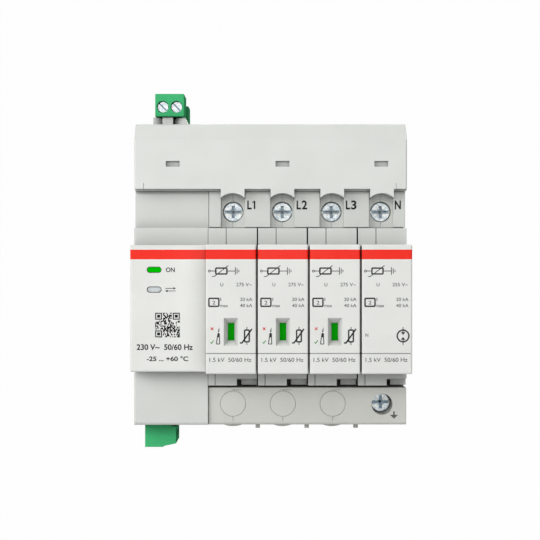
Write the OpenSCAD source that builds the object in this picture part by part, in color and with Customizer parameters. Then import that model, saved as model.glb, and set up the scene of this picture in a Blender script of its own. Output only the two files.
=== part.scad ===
// Surge protective device for a 35 mm mounting rail.
// Four poles carry plug-in cartridges, a monitor section stands at their left,
// and a hood with current sensors and a supply connector closes the top.
// X runs across the poles, -Y points to the front and +Z points up.
// The origin is the middle of the face that sits on the rail.

/* [Modules] */
// Width of one pole
module_w = 17.8; // [17.6:0.1:19]
// Width of the monitor section
monitor_w = 26.7; // [26:0.1:32]
// Gap between neighbouring housings
seam = 0.5; // [0.3:0.05:0.6]

/* [Housing] */
// Reach of the shoulders in front of the label blocks
shoulder_lead = 4.4; // [4.2:0.1:6]
// Reach of the housing behind the rail's front face
back_d = 4.6; // [4.5:0.1:6]
// Wall of the moulded housings
wall = 1.8; // [1.5:0.1:2]
// Wall beside a cartridge
bay_wall = 1; // [0.8:0.1:1.2]
// Reach of the cartridge bay's floor in front of the rail
floor_d = 12; // [12:0.25:13]
// Thickness of the bay's floor and of the wall behind the contacts
floor_t = 1.2; // [1:0.1:1.6]
// Rounding of the outer edges
edge_r = 0.6; // [0.3:0.1:0.9]
// Height of the shoulder strip above and below the front block
shoulder_h = 6.3; // [6:0.1:6.6]
// Height of the terminal covers above and below the shoulder strips
terminal_h = 13.4; // [13.2:0.1:16]
// Width of a parting line
line_w = 0.25; // [0.2:0.05:0.4]
// Depth of a parting line
line_d = 0.3; // [0.2:0.05:0.5]

/* [Front block] */
// Height of the cartridges and of the monitor front
block_h = 44.4; // [44:0.1:45.2]
// Reach of a cartridge in front of the shoulders
cartridge_lead = 17.3; // [15:0.1:22]
// Reach of the monitor front in front of the shoulders
monitor_lead = 8.2; // [7:0.1:12]
// Clearance round a cartridge in its bay
bay_fit = 0.3; // [0.2:0.05:0.4]
// Wall of a cartridge shell
shell_t = 1.3; // [1:0.1:1.5]
// Thickness of the plate that closes a cartridge
closing_t = 5.5; // [4.5:0.25:6]
// Gap between that plate and the bay's floor
closing_gap = 2.5; // [1.5:0.1:3.5]
// Height of the grip line below the middle
grip_z = 15; // [14.5:0.25:17]

/* [Status window] */
// Width of the window in the cartridge front
window_w = 4.9; // [4.4:0.1:6]
// Height of the window in the cartridge front
window_h = 9.6; // [9:0.1:11]
// Width of the opening at the window's bottom
sight_w = 2.25; // [1.8:0.05:3]
// Height of the opening at the window's bottom
sight_h = 6.05; // [5:0.05:6.5]
// Depth of the window's sloping sides
window_d = 2.2; // [1.6:0.1:3]
// Distance of the window below the middle
window_drop = 7.75; // [6.5:0.05:8.5]
// Travel of the status flag
flag_travel = 6.7; // [6.5:0.1:7.5]
// Thickness of the status flag
flag_t = 1; // [0.8:0.1:1.2]
// Reach of the status flag past the opening's edges
flag_lap = 1; // [0.6:0.1:1.4]
// Gap between the status flag and the shell
flag_gap = 0.3; // [0.2:0.05:0.4]

/* [Terminals] */
// Diameter of a terminal screw's head
screw_head_w = 7.2; // [6.6:0.1:7.4]
// Thickness of a terminal screw's head
screw_head_t = 3; // [2.4:0.1:3.2]
// Diameter of a terminal screw's shank
shank_w = 4.8; // [4:0.1:5.4]
// Clearance round a screw's head in its well
well_fit = 0.15; // [0.15:0.05:0.35]
// Reach of the terminal faces in front of the rail
terminal_d = 33; // [32:0.25:36]
// Thickness of the terminal cover in its screw channels
channel_t = 3.3; // [3:0.1:4]
// Height of the label blocks above the channels
label_t = 2.5; // [2:0.1:3.5]
// Width of a screw channel
channel_w = 8.7; // [8.3:0.1:9.2]
// Depth of a screw's head below its channel floor
sink = 1.4; // [1:0.1:1.8]
// Travel of a terminal cage
cage_travel = 3.2; // [2.4:0.1:3.4]
// Inner width of a terminal cage
cage_in = 9.4; // [9:0.1:9.8]
// Thickness of a cage's plate
cage_t = 1.6; // [1.2:0.1:1.8]
// Room for a wire behind the contact strip
wire_room = 9.6; // [9:0.1:10.2]
// Thickness of the contact strips
strip_t = 1.2; // [1:0.1:1.5]
// Width of the contact strips
strip_w = 6; // [5:0.25:7]
// Thickness of a cartridge blade
blade_t = 1; // [0.8:0.1:1.2]
// Width of a cartridge blade
blade_w = 5.6; // [5:0.1:6]
// Distance of a cartridge blade's middle from the cartridge's end
blade_in = 7.2; // [7:0.1:8]
// Length of a blade inside its cartridge
blade_root = 7; // [6:0.25:9]
// Thickness of the gas discharge tube
gas_w = 10.8; // [9:0.2:11]

/* [Hood] */
// Height of the hood
hood_h = 24.3; // [22:0.1:28]
// Reach of the hood in front of the label blocks
hood_lead = 4; // [3.8:0.1:5.5]
// Height of the hood's front chamfer
chamfer_h = 6.4; // [5:0.1:8]
// Depth of the hood's front chamfer
chamfer_d = 5.5; // [4:0.1:7]
// Wall of a wire tube
tube_t = 1.1; // [0.9:0.05:1.3]
// Gap between a wire tube and its pole's edge
tube_gap = 3.5; // [3.4:0.1:4]
// Height of the sensor board above the hood's floor
board_up = 4; // [3:0.25:6]
// Height of a current sensor ring
sensor_h = 7.4; // [6:0.2:9]
// Radius of the arc that opens a tongue round its screw
tongue_r = 6.4; // [6.2:0.1:7]

/* [Connectors] */
// Spacing of the supply connector's ways
supply_pitch = 5.08; // [5:0.02:5.2]
// Height of the supply plug
supply_h = 8.5; // [8:0.1:9]
// Depth of the supply plug's body
supply_d = 11.1; // [10.5:0.1:12]
// Spacing of the data connector's ways
data_pitch = 3.81; // [3.75:0.01:3.96]
// Width of the data plug
data_w = 11.3; // [11:0.1:12]
// Drop of the data plug below the housing
data_drop = 9.25; // [8:0.05:10]
// Length of the connectors' noses
nose_l = 7.2; // [6.5:0.1:8]
// Clearance round the connectors' noses
nose_fit = 0.2; // [0.15:0.05:0.3]

/* [Rail] */
// Width of the mounting rail
rail_w = 35; // [34.8:0.05:35.2]
// Clearance above and below the rail
rail_fit = 0.2; // [0.1:0.05:0.4]
// Gap behind the rail's front face for its edge
rail_gap = 1.4; // [1.2:0.1:1.6]
// Reach of the hook and of the latch behind the rail's edge
lip_h = 1.9; // [1.6:0.1:2.2]
// Width of a rail latch
latch_w = 10; // [9:0.25:12]
// Travel of a rail latch
latch_travel = 4; // [3:0.25:4.5]
// Length of a rail latch's pull tab below the housing
latch_tab = 4.8; // [4:0.2:6]

/* [Hidden] */
$fn = 64;

// Small working clearance and the overlap of a cut with open air
gap = 0.1;
cut = 1;

// Places across the device
poles = 4;
total_w = monitor_w + poles * module_w;
body_h = block_h + 2 * (shoulder_h + terminal_h);
left = -total_w / 2;
right = total_w / 2;
side_in = 0.45;
base_left = left + side_in;
base_w = module_w - seam;
head_w = module_w - seam;
bay_w = base_w - 2 * bay_wall;
neck_w = bay_w - 2 * bay_fit;
row_left = left + monitor_w + seam / 2;
monitor_right = row_left - gap;
monitor_x = left + monitor_w / 2;
row_right = right - seam / 2;
function pole_x(i) = left + monitor_w + (i + 0.5) * module_w;

// Heights
body_top = body_h / 2;
block_top = block_h / 2;
bay_top = block_top + bay_fit / 2;
neck_top = bay_top - bay_fit;
strip_top = block_top + shoulder_h;
screw_drop = 0.7;
screw_up = terminal_h / 2 - screw_drop;
screw_z = strip_top + screw_up;
cage_room = 1;
cage_h = 2 * (screw_up - cage_room);
hood_top = body_top + hood_h;
hood_gap = 0.5;
comb_gap = 0.3;
cover_gap = 0.75;
blade_z = block_top - blade_in;

// Depths, with the front at negative Y
terminal_y = -terminal_d;
comb_back_y = terminal_y;
channel_y = terminal_y - channel_t;
label_y = channel_y - label_t;
bevel_h = 1.2;
bevel_d = 0.4;
hood_y = label_y - hood_lead;
shoulder_y = label_y - shoulder_lead;
overhang_y = shoulder_y - gap;
cartridge_y = shoulder_y - cartridge_lead;
monitor_y = shoulder_y - monitor_lead;
floor_y = -floor_d;
shell_back_y = floor_y - closing_gap - closing_t;

// Terminal chain from the screw's head to the back of its cage
head_y = channel_y + sink;
head_back_y = head_y + screw_head_t;
cage_gap = 0.8;
strip_gap = 0.9;
cage_y = head_back_y + cage_travel + cage_gap;
strip_y = cage_y + cage_t + strip_gap;
tip_y = strip_y - gap;
strip_back_y = strip_y + strip_t;
cage_back_y = strip_back_y + wire_room;
cage_end_y = cage_back_y + cage_t;
pocket_fit = 0.3;
pocket_back_y = cage_end_y + 2 * pocket_fit;
wire_y = (strip_back_y + cage_back_y) / 2;
pocket_w = cage_in + 2 * cage_t + 2 * pocket_fit;
pocket_h = cage_h + 3 * pocket_fit;

// Contacts behind the bay's floor
chamber_y = floor_y + floor_t;
seat_wall = 2.2;
side_wall = 2.1;
jaw_back = 3.2;
blade_gap = 0.6;
leg_up = 2.4;
chamber_back_y = -seat_wall;
chamber_w = base_w - 2 * side_wall;
riser_w = 2.4;
leg_z = block_top + leg_up;
jaw_y = chamber_back_y - jaw_back - strip_t;
blade_tip_y = jaw_y - blade_gap;
blade_back_y = shell_back_y - blade_root;
finger_t = 0.8;
finger_fit = 0.08;
strip_fit = 0.4;
slot_w = 3.8;

// Inside the cartridges
sill_t = 0.4;
sill_y = cartridge_y + window_d + sill_t;
flag_y = sill_y + flag_gap;
flag_back_y = flag_y + flag_t;
inner_fit = 1.6;
inner_past = 2;
gas_y = blade_back_y - gas_w / 2 - inner_fit;
gas_half = blade_z - inner_past;

// Rail seat and hooks
groove_top = rail_w / 2 + rail_fit;
lip_z = groove_top - lip_h;
relief = 0.3;
seat_top = lip_z - relief;
rib_w = 0.7 * latch_w;
latch_fit = 0.2;
latch_t = 1.5;
latch_y = rail_gap;
latch_step_y = latch_y + latch_t;
latch_back_y = back_d - latch_fit;

// Hood profile
roof_z = hood_top - wall;
face_y = hood_y + wall;
chamfer_l = sqrt(chamfer_h * chamfer_h + chamfer_d * chamfer_d);
inner_low_z = hood_top - chamfer_h - wall * chamfer_d / chamfer_l
    + (wall - wall * chamfer_h / chamfer_l) * chamfer_h / chamfer_d;
inner_roof_y = face_y + (roof_z - inner_low_z) * chamfer_d / chamfer_h;
tube_w = module_w - 2 * tube_gap;
wire_w = tube_w - 2 * tube_t;
louvre_w = 1.4;
louvre_pitch = 3.2;
louvre_d = 0.6;
louvre_back = 12;
tube_r = 2.5;
board_z = body_top + wall + board_up;
board_t = 1.6;
sensor_w = module_w - 2 * wall - 2 * gap;

// Supply connector on the hood
supply_in = 11.7;
supply_back = 16.7;
supply_x = left + supply_in;
supply_ends = 0.62;
supply_w = 2 * supply_pitch + supply_ends;
pedestal_h = 3.95;
supply_z = hood_top + pedestal_h + 2 * gap;
supply_y = hood_y + supply_back;
supply_back_y = supply_y + supply_d;
supply_screw_up = 3.65;
supply_nose_up = 0.6;
supply_screw_z = supply_z + supply_screw_up;
supply_nose_z = supply_z + supply_nose_up;
supply_nose_h = 3.3;
supply_nose_in = 0.9;
supply_nose_w = supply_w - 2 * supply_nose_in;
header_t = 1.3;
header_room = 2.4;
header_y = supply_back_y + nose_fit;
header_back_y = header_y + nose_l + header_room;
header_past_left = 0.5;
header_past_right = 0.8;
header_left = supply_x - supply_w / 2 - header_past_left;
header_right = supply_x + supply_w / 2 + header_past_right;
header_top = supply_nose_z + supply_nose_h + nose_fit + header_t;
small_head_w = 3.97;
small_head_t = 1.6;
small_shank_w = 2.4;
small_sink = 1;
small_travel = 2;
small_cage_w = 3.8;
small_cage_h = 4.4;
small_cage_l = 4.2;
small_cage_t = 0.9;
small_cage_gap = 0.8;
small_cage_y = supply_y + small_sink + small_head_t + small_travel + small_cage_gap;

// Data connector under the monitor section
data_in = 3.35;
data_left = left + data_in;
data_right = data_left + data_w;
data_l = 4 * data_pitch;
data_back = 5.6;
data_y = label_y + data_back;
data_back_y = data_y + data_l;
data_bottom = -body_top - data_drop;
data_top = -body_top - 4 * gap;
data_nose_in = 1.2;
data_nose_left = data_left + data_nose_in;
data_nose_right = data_right - data_nose_in;
data_nose_top = data_top + nose_l;
data_pin_x = (data_nose_left + data_nose_right) / 2;
data_screw_up = 4.4;
data_screw_z = data_bottom + data_screw_up;
data_head_w = 2.6;
data_shank_w = 1.6;
data_clamp_in = 4.2;
data_clamp_x = data_left + data_clamp_in;
data_clamp_t = 0.7;
data_header_past = 0.8;
data_header_past_right = 0.7;
data_header_room = 2.2;
data_header_left = data_left - data_header_past;
data_header_right = data_right + data_header_past_right;
data_header_y = data_y - data_header_past;
data_header_back_y = data_back_y + data_header_past;
data_header_top = data_nose_top + data_header_room;
pin_w = 1;

// Circuit board of the monitor section
board_in = 11;
light_in = 8.45;
pcb_x = left + board_in;
pcb_short = 2.4;
pcb_lead = 0.7;
pcb_back = 8;
pcb_top = block_top - pcb_short;
pcb_y = shoulder_y - pcb_lead;
pcb_back_y = -pcb_back;
light_x = left + light_in;
light_z = 0.609 * block_top;
data_light_z = 0.2965 * block_top;
light_w = 4.7;
light_h = 1.7;
light_fit = 0.22;
light_sink = 0.3;
guide_l = 5;
guide_back_y = monitor_y + guide_l;

// Colours of the real pieces
light_grey = [0.88, 0.89, 0.87];
cartridge_grey = [0.9, 0.9, 0.88];
deep_grey = [0.72, 0.73, 0.71];
connector_green = [0.18, 0.65, 0.35];
board_green = [0.08, 0.35, 0.2];
zinc = [0.78, 0.8, 0.83];
copper = [0.8, 0.5, 0.32];

// Box between two corners
module block(low, high) {
    translate(low) cube(high - low);
}

// Outline in Y and Z, carried across from x0 to x1
module across(x0, x1) {
    translate([x0, 0, 0]) rotate([90, 0, 90]) linear_extrude(x1 - x0) children();
}

// Outline in X and Z, carried back from y0 to y1
module facing(y0, y1) {
    translate([0, y1, 0]) rotate([90, 0, 0]) linear_extrude(y1 - y0) children();
}

// Outline in Y and X, carried up from z0 to z1
module layer(z0, z1) {
    translate([0, 0, z1]) rotate([180, 0, 90]) linear_extrude(z1 - z0) children();
}

// Rectangle with four round corners
module all_round(u0, u1, v0, v1, r) {
    translate([u0 + r, v0]) square([u1 - u0 - 2 * r, v1 - v0]);
    translate([u0, v0 + r]) square([u1 - u0, v1 - v0 - 2 * r]);
    for (u = [u0 + r, u1 - r], v = [v0 + r, v1 - r]) {
        translate([u, v]) circle(r);
    }
}

// Rectangle with round corners on the side of u0, the lower one of its own radius
module front_round(u0, u1, v0, v1, r, low_r) {
    inner = max(r, low_r);
    translate([u0 + inner, v0]) square([u1 - u0 - inner, v1 - v0]);
    translate([u0, v0 + low_r]) square([u1 - u0, v1 - v0 - low_r - r]);
    translate([u0 + low_r, v0 + low_r]) circle(low_r);
    translate([u0 + r, v1 - r]) circle(r);
    translate([u0 + r, v1 - 2 * r]) square([inner, 2 * r]);
}

// Box whose front and long edges are rounded, with a radius of its own along the foot
module soft_block(low, high, r, foot_r = 0) {
    intersection() {
        facing(low.y, high.y) all_round(low.x, high.x, low.z, high.z, r);
        across(low.x, high.x) front_round(low.y, high.y, low.z, high.z, r, max(r, foot_r));
        layer(low.z, high.z) front_round(low.y, high.y, low.x, high.x, r, r);
    }
}

// Cylinder along Y
module rod(x, z, y0, y1, r) {
    translate([x, y1, z]) rotate([90, 0, 0]) cylinder(h = y1 - y0, r = r);
}

// Ends of the housings behind the rail: fixed hook above, plain foot below
module rail_back(front) {
    polygon([
        [front, body_top], [back_d, body_top], [back_d, lip_z], [rail_gap, lip_z],
        [rail_gap, groove_top], [-relief, groove_top], [-relief, seat_top],
        [0, seat_top], [0, -seat_top], [-relief, -seat_top],
        [-relief, -groove_top], [back_d, -groove_top], [back_d, -body_top],
        [front, -body_top]
    ]);
}

// Row of upright louvres sunk into a side wall, between two depths
module louvres(x, y0, y1, z0, z1) {
    for (y = [y0 : louvre_pitch : y1]) {
        across(x - louvre_d, x + louvre_d)
            all_round(y, y + louvre_w, z0, z1, louvre_w / 2 - gap);
    }
}

// Sunk panels in a back, one above the other with a rib between them
module back_panels(x0, x1, z0, z1) {
    panel_d = 1;
    panel_r = 1.2;
    rib = 1.6;
    middle = (z0 + z1) / 2;
    for (ends = [[z0, middle - rib / 2], [middle + rib / 2, z1]]) {
        facing(back_d - panel_d, back_d + cut) all_round(x0, x1, ends[0], ends[1], panel_r);
    }
}

// Slot that a rail latch slides in, with the travel of its top left free
module latch_way(x) {
    block([x - latch_w / 2 - latch_fit, latch_y - latch_fit, -body_top - cut],
        [x + latch_w / 2 + latch_fit, latch_step_y + latch_fit, -groove_top + cut]);
    block([x - rib_w / 2 - latch_fit, latch_y - latch_fit, -body_top - cut],
        [x + rib_w / 2 + latch_fit, back_d + cut, -groove_top + cut]);
}

// Latch that slides down to free the rail, with two slit spring legs and a pull tab
module rail_latch(x) {
    slit_w = 0.8;
    leg_w = 1.2;
    leg_in = 5;
    nose = 1;
    foot = 2;
    slit_low = 1;
    slit_top = -groove_top - latch_travel - leg_in;
    tab_bottom = -body_top - latch_tab;
    hole_w = 4;
    hole_h = 1.6;
    hole_up = 1.2;
    color(cartridge_grey) difference() {
        union() {
            block([x - latch_w / 2, latch_y, -body_top + foot],
                [x + latch_w / 2, latch_step_y, -lip_z]);
            across(x - rib_w / 2, x + rib_w / 2) polygon([
                [latch_y, -lip_z], [latch_back_y - nose, -lip_z],
                [latch_back_y, -lip_z - nose], [latch_back_y, tab_bottom],
                [latch_y, tab_bottom]
            ]);
        }
        for (side = [-1, 1]) {
            slit_x = x + side * (latch_w / 2 - leg_w - slit_w / 2);
            block([slit_x - slit_w / 2, latch_y - cut, -body_top + slit_low],
                [slit_x + slit_w / 2, latch_back_y + cut, slit_top]);
        }
        block([x - hole_w / 2, latch_y - cut, tab_bottom + hole_up],
            [x + hole_w / 2, latch_back_y + cut, tab_bottom + hole_up + hole_h]);
    }
}

// Wire entry with round corners, centred on a pole
module wire_way(x, z0, z1, w) {
    layer(z0, z1) all_round(wire_y - w / 2, wire_y + w / 2, x - w / 2, x + w / 2,
        tube_r + (w - wire_w) / 2);
}

// Pocket of one terminal with its wire entry and the slot for its strip
module terminal_room(x) {
    block([x - pocket_w / 2, terminal_y - cut, screw_z - pocket_h / 2],
        [x + pocket_w / 2, pocket_back_y, screw_z + pocket_h / 2]);
    wire_way(x, screw_z, body_top + cut, wire_w);
    block([x - strip_w / 2 - strip_fit, strip_y - strip_fit, leg_z],
        [x + strip_w / 2 + strip_fit, strip_back_y + strip_fit, screw_z]);
    block([x - strip_w / 2 - strip_fit, strip_y - strip_fit, leg_z],
        [x + strip_w / 2 + strip_fit, chamber_back_y, leg_z + strip_t + strip_fit]);
    block([x - strip_w / 2 - strip_fit, chamber_y, blade_z],
        [x + strip_w / 2 + strip_fit, chamber_back_y, leg_z + strip_t + strip_fit]);
}

// Way of the neutral bar through the walls between the poles
module neutral_way() {
    reach = blade_w / 2 + 2 * strip_fit;
    low_y = jaw_y - strip_fit;
    high_y = jaw_y + strip_t + strip_fit;
    block([pole_x(0), low_y, -blade_z - reach], [pole_x(2), high_y, -blade_z + reach]);
    block([pole_x(2), low_y, blade_z - reach], [pole_x(3), high_y, blade_z + reach]);
}

// Housing of one pole, with the cartridge bay between its two shoulders
module pole_base(i) {
    x = pole_x(i);
    pole_left = x - base_w / 2;
    pole_right = x + base_w / 2;
    earthed = i == poles - 1;
    upper_line = 0.363 * base_w;
    lower_line = 0.135 * base_w;
    notch_x = 0.59 * base_w;
    notch_d = 3;
    notch_drop = 3.2;
    notch_top = strip_top - notch_drop;
    slot_l = 1.5;
    slot_d = 8;
    slot_in = 0.6;
    panel_in = 2.4;
    post_r = 1.6;
    ring_r = 2.3;
    ring_d = 0.5;
    post_in = 4;
    post_lead = 3;
    posts = [
        [label_y + post_in, block_top + shoulder_h / 2],
        [label_y + post_in, -block_top - shoulder_h / 2],
        [-seat_wall, body_top - 2 * terminal_h / 3], [-seat_wall, -body_top + 2 * terminal_h / 3],
        [-seat_wall - post_lead, 0]
    ];
    color(light_grey) difference() {
        across(pole_left, pole_right) difference() {
            rail_back(shoulder_y);
            translate([shoulder_y - cut, strip_top - gap])
                square([terminal_y - shoulder_y + cut, body_h]);
            translate([shoulder_y - cut, -strip_top + cover_gap - body_h])
                square([terminal_y - shoulder_y + cut, body_h]);
        }
        block([x - bay_w / 2, shoulder_y - cut, -bay_top],
            [x + bay_w / 2, floor_y, bay_top]);
        // Chamber for the contacts, reached through two slots in the floor
        block([x - chamber_w / 2, chamber_y, -block_top + leg_up],
            [x + chamber_w / 2, chamber_back_y, block_top - leg_up]);
        for (z = [-blade_z, blade_z]) {
            block([x - slot_w / 2, floor_y - cut, z - blade_w / 2 - strip_fit],
                [x + slot_w / 2, chamber_y + cut, z + blade_w / 2 + strip_fit]);
        }
        terminal_room(x);
        back_panels(pole_left + panel_in, pole_right - panel_in,
            groove_top + panel_in, body_top - panel_in);
        if (earthed) {
            mirror([0, 0, 1]) terminal_room(x);
            latch_way(x);
            // Rings sunk round the posts that hold the two halves together
            for (post = posts) {
                translate([pole_right - ring_d, post[0], post[1]]) rotate([0, 90, 0])
                    difference() {
                        cylinder(h = ring_d + cut, r = ring_r);
                        translate([0, 0, -cut]) cylinder(h = ring_d + 3 * cut, r = post_r);
                    }
            }
        } else {
            back_panels(pole_left + panel_in, pole_right - panel_in,
                -body_top + panel_in, -groove_top - panel_in);
        }
        neutral_way();
        // Parting lines of the two moulded halves
        block([pole_left + upper_line, shoulder_y - cut, bay_top - cut],
            [pole_left + upper_line + line_w, shoulder_y + line_d, strip_top + cut]);
        block([pole_left + lower_line, shoulder_y - cut, -strip_top - cut],
            [pole_left + lower_line + line_w, shoulder_y + line_d, -bay_top + cut]);
        // Release notch in the lower shoulder, with a screwdriver slot at its left
        block([pole_left + notch_x, shoulder_y - cut, -strip_top - cut],
            [pole_right + cut, shoulder_y + notch_d, -notch_top]);
        block([pole_left + notch_x, shoulder_y - cut, -strip_top - cut],
            [pole_left + notch_x + slot_l, shoulder_y + slot_d, -notch_top - slot_in]);
    }
}

// What the bevel takes off the upper edge of the terminal faces
module top_bevel(x0, x1) {
    across(x0 - cut, x1 + cut) polygon([
        [label_y - cut, body_top - bevel_h], [label_y, body_top - bevel_h],
        [label_y + bevel_d * (bevel_h + cut) / bevel_h, body_top + cut],
        [label_y - cut, body_top + cut]
    ]);
}

// Terminal cover over the four poles, with a screw channel in each
module terminal_comb() {
    well_r = screw_head_w / 2 + well_fit;
    color(light_grey) difference() {
        soft_block([row_left, label_y, strip_top + comb_gap],
            [row_right, comb_back_y, body_top - gap], edge_r / 2);
        top_bevel(row_left, row_right);
        for (i = [0 : poles - 1]) {
            x = pole_x(i);
            block([x - channel_w / 2, label_y - cut, strip_top - cut],
                [x + channel_w / 2, channel_y, body_top + cut]);
            rod(x, screw_z, label_y - cut, comb_back_y + cut, well_r);
            // Parting line down the middle of the channel
            block([x - line_w / 2, channel_y - cut, strip_top - cut],
                [x + line_w / 2, channel_y + line_d / 2, body_top + cut]);
        }
    }
}

// Cover over the lower terminals, with three knock-outs and the earth screw's well
module lower_cover() {
    cover_back = 0.9;
    cover_y = shoulder_y + cover_back;
    inner_t = 1.6;
    top = -strip_top;
    bottom = -body_top;
    well_r = screw_head_w / 2 + well_fit;
    collar_t = 1.2;
    knock_in = 0.15;
    knock_r = 4.6;
    knock_up = 0.2;
    knock_z = -screw_z + knock_up;
    score_w = 0.14;
    score_d = 0.25;
    score_up = 1.4;
    score_low = bottom + score_up;
    step_l = 3;
    step_up = 0.4;
    hook_w = 1.6;
    hook_d = 2.2;
    hook_drop = 2;
    cup_w = 8;
    cup_r = 9;
    cup_drop = 1;
    cup_d = 4.6;
    cup_wall = 0.4;
    cup_back_y = comb_back_y - cup_wall;
    color(light_grey) {
        difference() {
            union() {
                difference() {
                    soft_block([row_left, cover_y, bottom], [row_right, comb_back_y, top],
                        edge_r / 2, 2 * edge_r);
                    for (i = [0 : poles - 1]) {
                        x = pole_x(i);
                        block([x - base_w / 2 + inner_t, cover_y + inner_t, bottom + inner_t],
                            [x + base_w / 2 - inner_t, comb_back_y + cut, top - inner_t]);
                    }
                }
                rod(pole_x(3), -screw_z, cover_y + inner_t / 2, comb_back_y, well_r + collar_t);
            }
            rod(pole_x(3), -screw_z, cover_y - cut, comb_back_y + cut, well_r);
            for (i = [0 : poles - 2]) {
                x = pole_x(i) + knock_in;
                knock_top = knock_z + knock_r;
                // Scored ring round a knock-out, with a slit below and a stepped one above
                difference() {
                    rod(x, knock_z, cover_y - cut, cover_y + score_d, knock_r);
                    rod(x, knock_z, cover_y - 2 * cut, cover_y + 2 * score_d, knock_r - score_w);
                }
                block([x - score_w / 2, cover_y - cut, score_low],
                    [x + score_w / 2, cover_y + score_d, knock_z - knock_r + score_w / 2]);
                block([x - score_w / 2, cover_y - cut, knock_top - score_w],
                    [x + score_w / 2, cover_y + score_d, knock_top + step_up]);
                block([x - score_w / 2, cover_y - cut, knock_top + step_up - score_w],
                    [x + step_l, cover_y + score_d, knock_top + step_up]);
            }
        }
        // Hooks between the poles and shallow cups under the knock-outs
        for (i = [1 : poles - 1]) {
            x = pole_x(i) - module_w / 2;
            block([x - hook_w / 2, comb_back_y - hook_d, bottom - hook_drop],
                [x + hook_w / 2, comb_back_y, bottom + inner_t / 2]);
        }
        for (i = [0 : poles - 2]) {
            x = pole_x(i);
            facing(cup_back_y - cup_d, cup_back_y) intersection() {
                translate([x, bottom - cup_drop + cup_r]) circle(cup_r);
                translate([x - cup_w / 2, bottom - cup_drop]) square([cup_w, cup_drop + inner_t / 2]);
            }
        }
    }
}

// Screw head recess: one slot right across, and a cross with four small ticks
module drive_recess(x, z, y, r) {
    slot_w = 0.3 * r;
    slot_d = 0.9;
    arm = 1.25 * r;
    cross_d = 1.7;
    tick_l = 0.84 * r;
    tick_w = 0.24 * slot_w;
    tick_d = 0.5;
    for (size = [[2 * r + cut, slot_w, slot_d], [arm, slot_w, cross_d], [slot_w, arm, cross_d]]) {
        block([x - size[0] / 2, y - cut, z - size[1] / 2],
            [x + size[0] / 2, y + size[2], z + size[1] / 2]);
    }
    for (turn = [45, 135]) {
        translate([x, y, z]) rotate([0, turn, 0])
            block([-tick_l / 2, -cut, -tick_w / 2], [tick_l / 2, tick_d, tick_w / 2]);
    }
}

// Terminal screw, whose tip bears on the contact strip
module terminal_screw(i, side) {
    x = pole_x(i);
    z = side * screw_z;
    r = screw_head_w / 2;
    bevel = 0.35;
    color(zinc) difference() {
        union() {
            rod(x, z, head_y + bevel, head_back_y, r);
            translate([x, head_y + bevel, z]) rotate([90, 0, 0])
                cylinder(h = bevel, r1 = r, r2 = r - bevel);
            rod(x, z, head_back_y - gap, tip_y, shank_w / 2);
        }
        drive_recess(x, z, head_y, r);
    }
}

// Cage that the screw draws forward over the wire
module terminal_cage(i, side) {
    x = pole_x(i);
    z = side * screw_z;
    half = cage_in / 2;
    thread_fit = 0.15;
    color(zinc) difference() {
        block([x - half - cage_t, cage_y, z - cage_h / 2],
            [x + half + cage_t, cage_end_y, z + cage_h / 2]);
        block([x - half, cage_y + cage_t, z - cage_h / 2 - cut],
            [x + half, cage_back_y, z + cage_h / 2 + cut]);
        rod(x, z, cage_y - cut, cage_y + cage_t + cut, shank_w / 2 + thread_fit);
    }
}

// Two spring fingers that hold a cartridge blade, with their lips flared apart
module jaw(x, z) {
    near = blade_t / 2 + finger_fit;
    flare = 0.5;
    lip_y = chamber_y + strip_fit;
    lip_l = 2;
    grip_y = lip_y + lip_l;
    layer(z - blade_w / 2, z + blade_w / 2) {
        for (side = [-1, 1]) {
            polygon([
                [lip_y, x + side * (near + flare)], [grip_y, x + side * near],
                [jaw_y, x + side * near], [jaw_y, x + side * (near + finger_t)],
                [grip_y, x + side * (near + finger_t)],
                [lip_y, x + side * (near + finger_t + flare)]
            ]);
        }
    }
}

// Bent strip from a terminal to the jaw behind the bay's floor
module contact(x) {
    across(x - strip_w / 2, x + strip_w / 2) {
        translate([strip_y, leg_z]) square([strip_t, screw_z + cage_h / 2 - leg_z]);
        translate([strip_y, leg_z]) square([jaw_y + strip_t - strip_y, strip_t]);
        translate([jaw_y, blade_z - blade_w / 2])
            square([strip_t, leg_z + strip_t - blade_z + blade_w / 2]);
    }
    jaw(x, blade_z);
}

module line_contacts() {
    color(copper) for (i = [0 : poles - 2]) {
        contact(pole_x(i));
    }
}

// Bar behind the three line cartridges, which rises beside the third one
module neutral_bar() {
    riser_right = pole_x(2) + chamber_w / 2 - strip_fit;
    low = -blade_z - blade_w / 2;
    color(copper) {
        contact(pole_x(3));
        block([pole_x(0) - strip_w / 2, jaw_y, low],
            [riser_right, jaw_y + strip_t, low + blade_w]);
        block([riser_right - riser_w, jaw_y, low],
            [riser_right, jaw_y + strip_t, blade_z + blade_w / 2]);
        block([riser_right - riser_w, jaw_y, blade_z - blade_w / 2],
            [pole_x(3), jaw_y + strip_t, blade_z + blade_w / 2]);
        for (i = [0 : poles - 2]) {
            jaw(pole_x(i), -blade_z);
        }
    }
}

module earth_contact() {
    color(copper) mirror([0, 0, 1]) contact(pole_x(3));
}

// Funnel with four sloping sides, then a straight opening through its bottom
module window_cut(x, z) {
    deep_y = cartridge_y + window_d;
    intersection() {
        across(x - window_w, x + window_w) polygon([
            [cartridge_y - gap, z - window_h / 2], [cartridge_y - gap, z + window_h / 2],
            [cartridge_y, z + window_h / 2], [deep_y, z + sight_h / 2],
            [deep_y, z - sight_h / 2], [cartridge_y, z - window_h / 2]
        ]);
        layer(z - window_h, z + window_h) polygon([
            [cartridge_y - gap, x - window_w / 2], [cartridge_y - gap, x + window_w / 2],
            [cartridge_y, x + window_w / 2], [deep_y, x + sight_w / 2],
            [deep_y, x - sight_w / 2], [cartridge_y, x - window_w / 2]
        ]);
    }
    block([x - sight_w / 2, cartridge_y, z - sight_h / 2],
        [x + sight_w / 2, sill_y + cut, z + sight_h / 2]);
}

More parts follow.
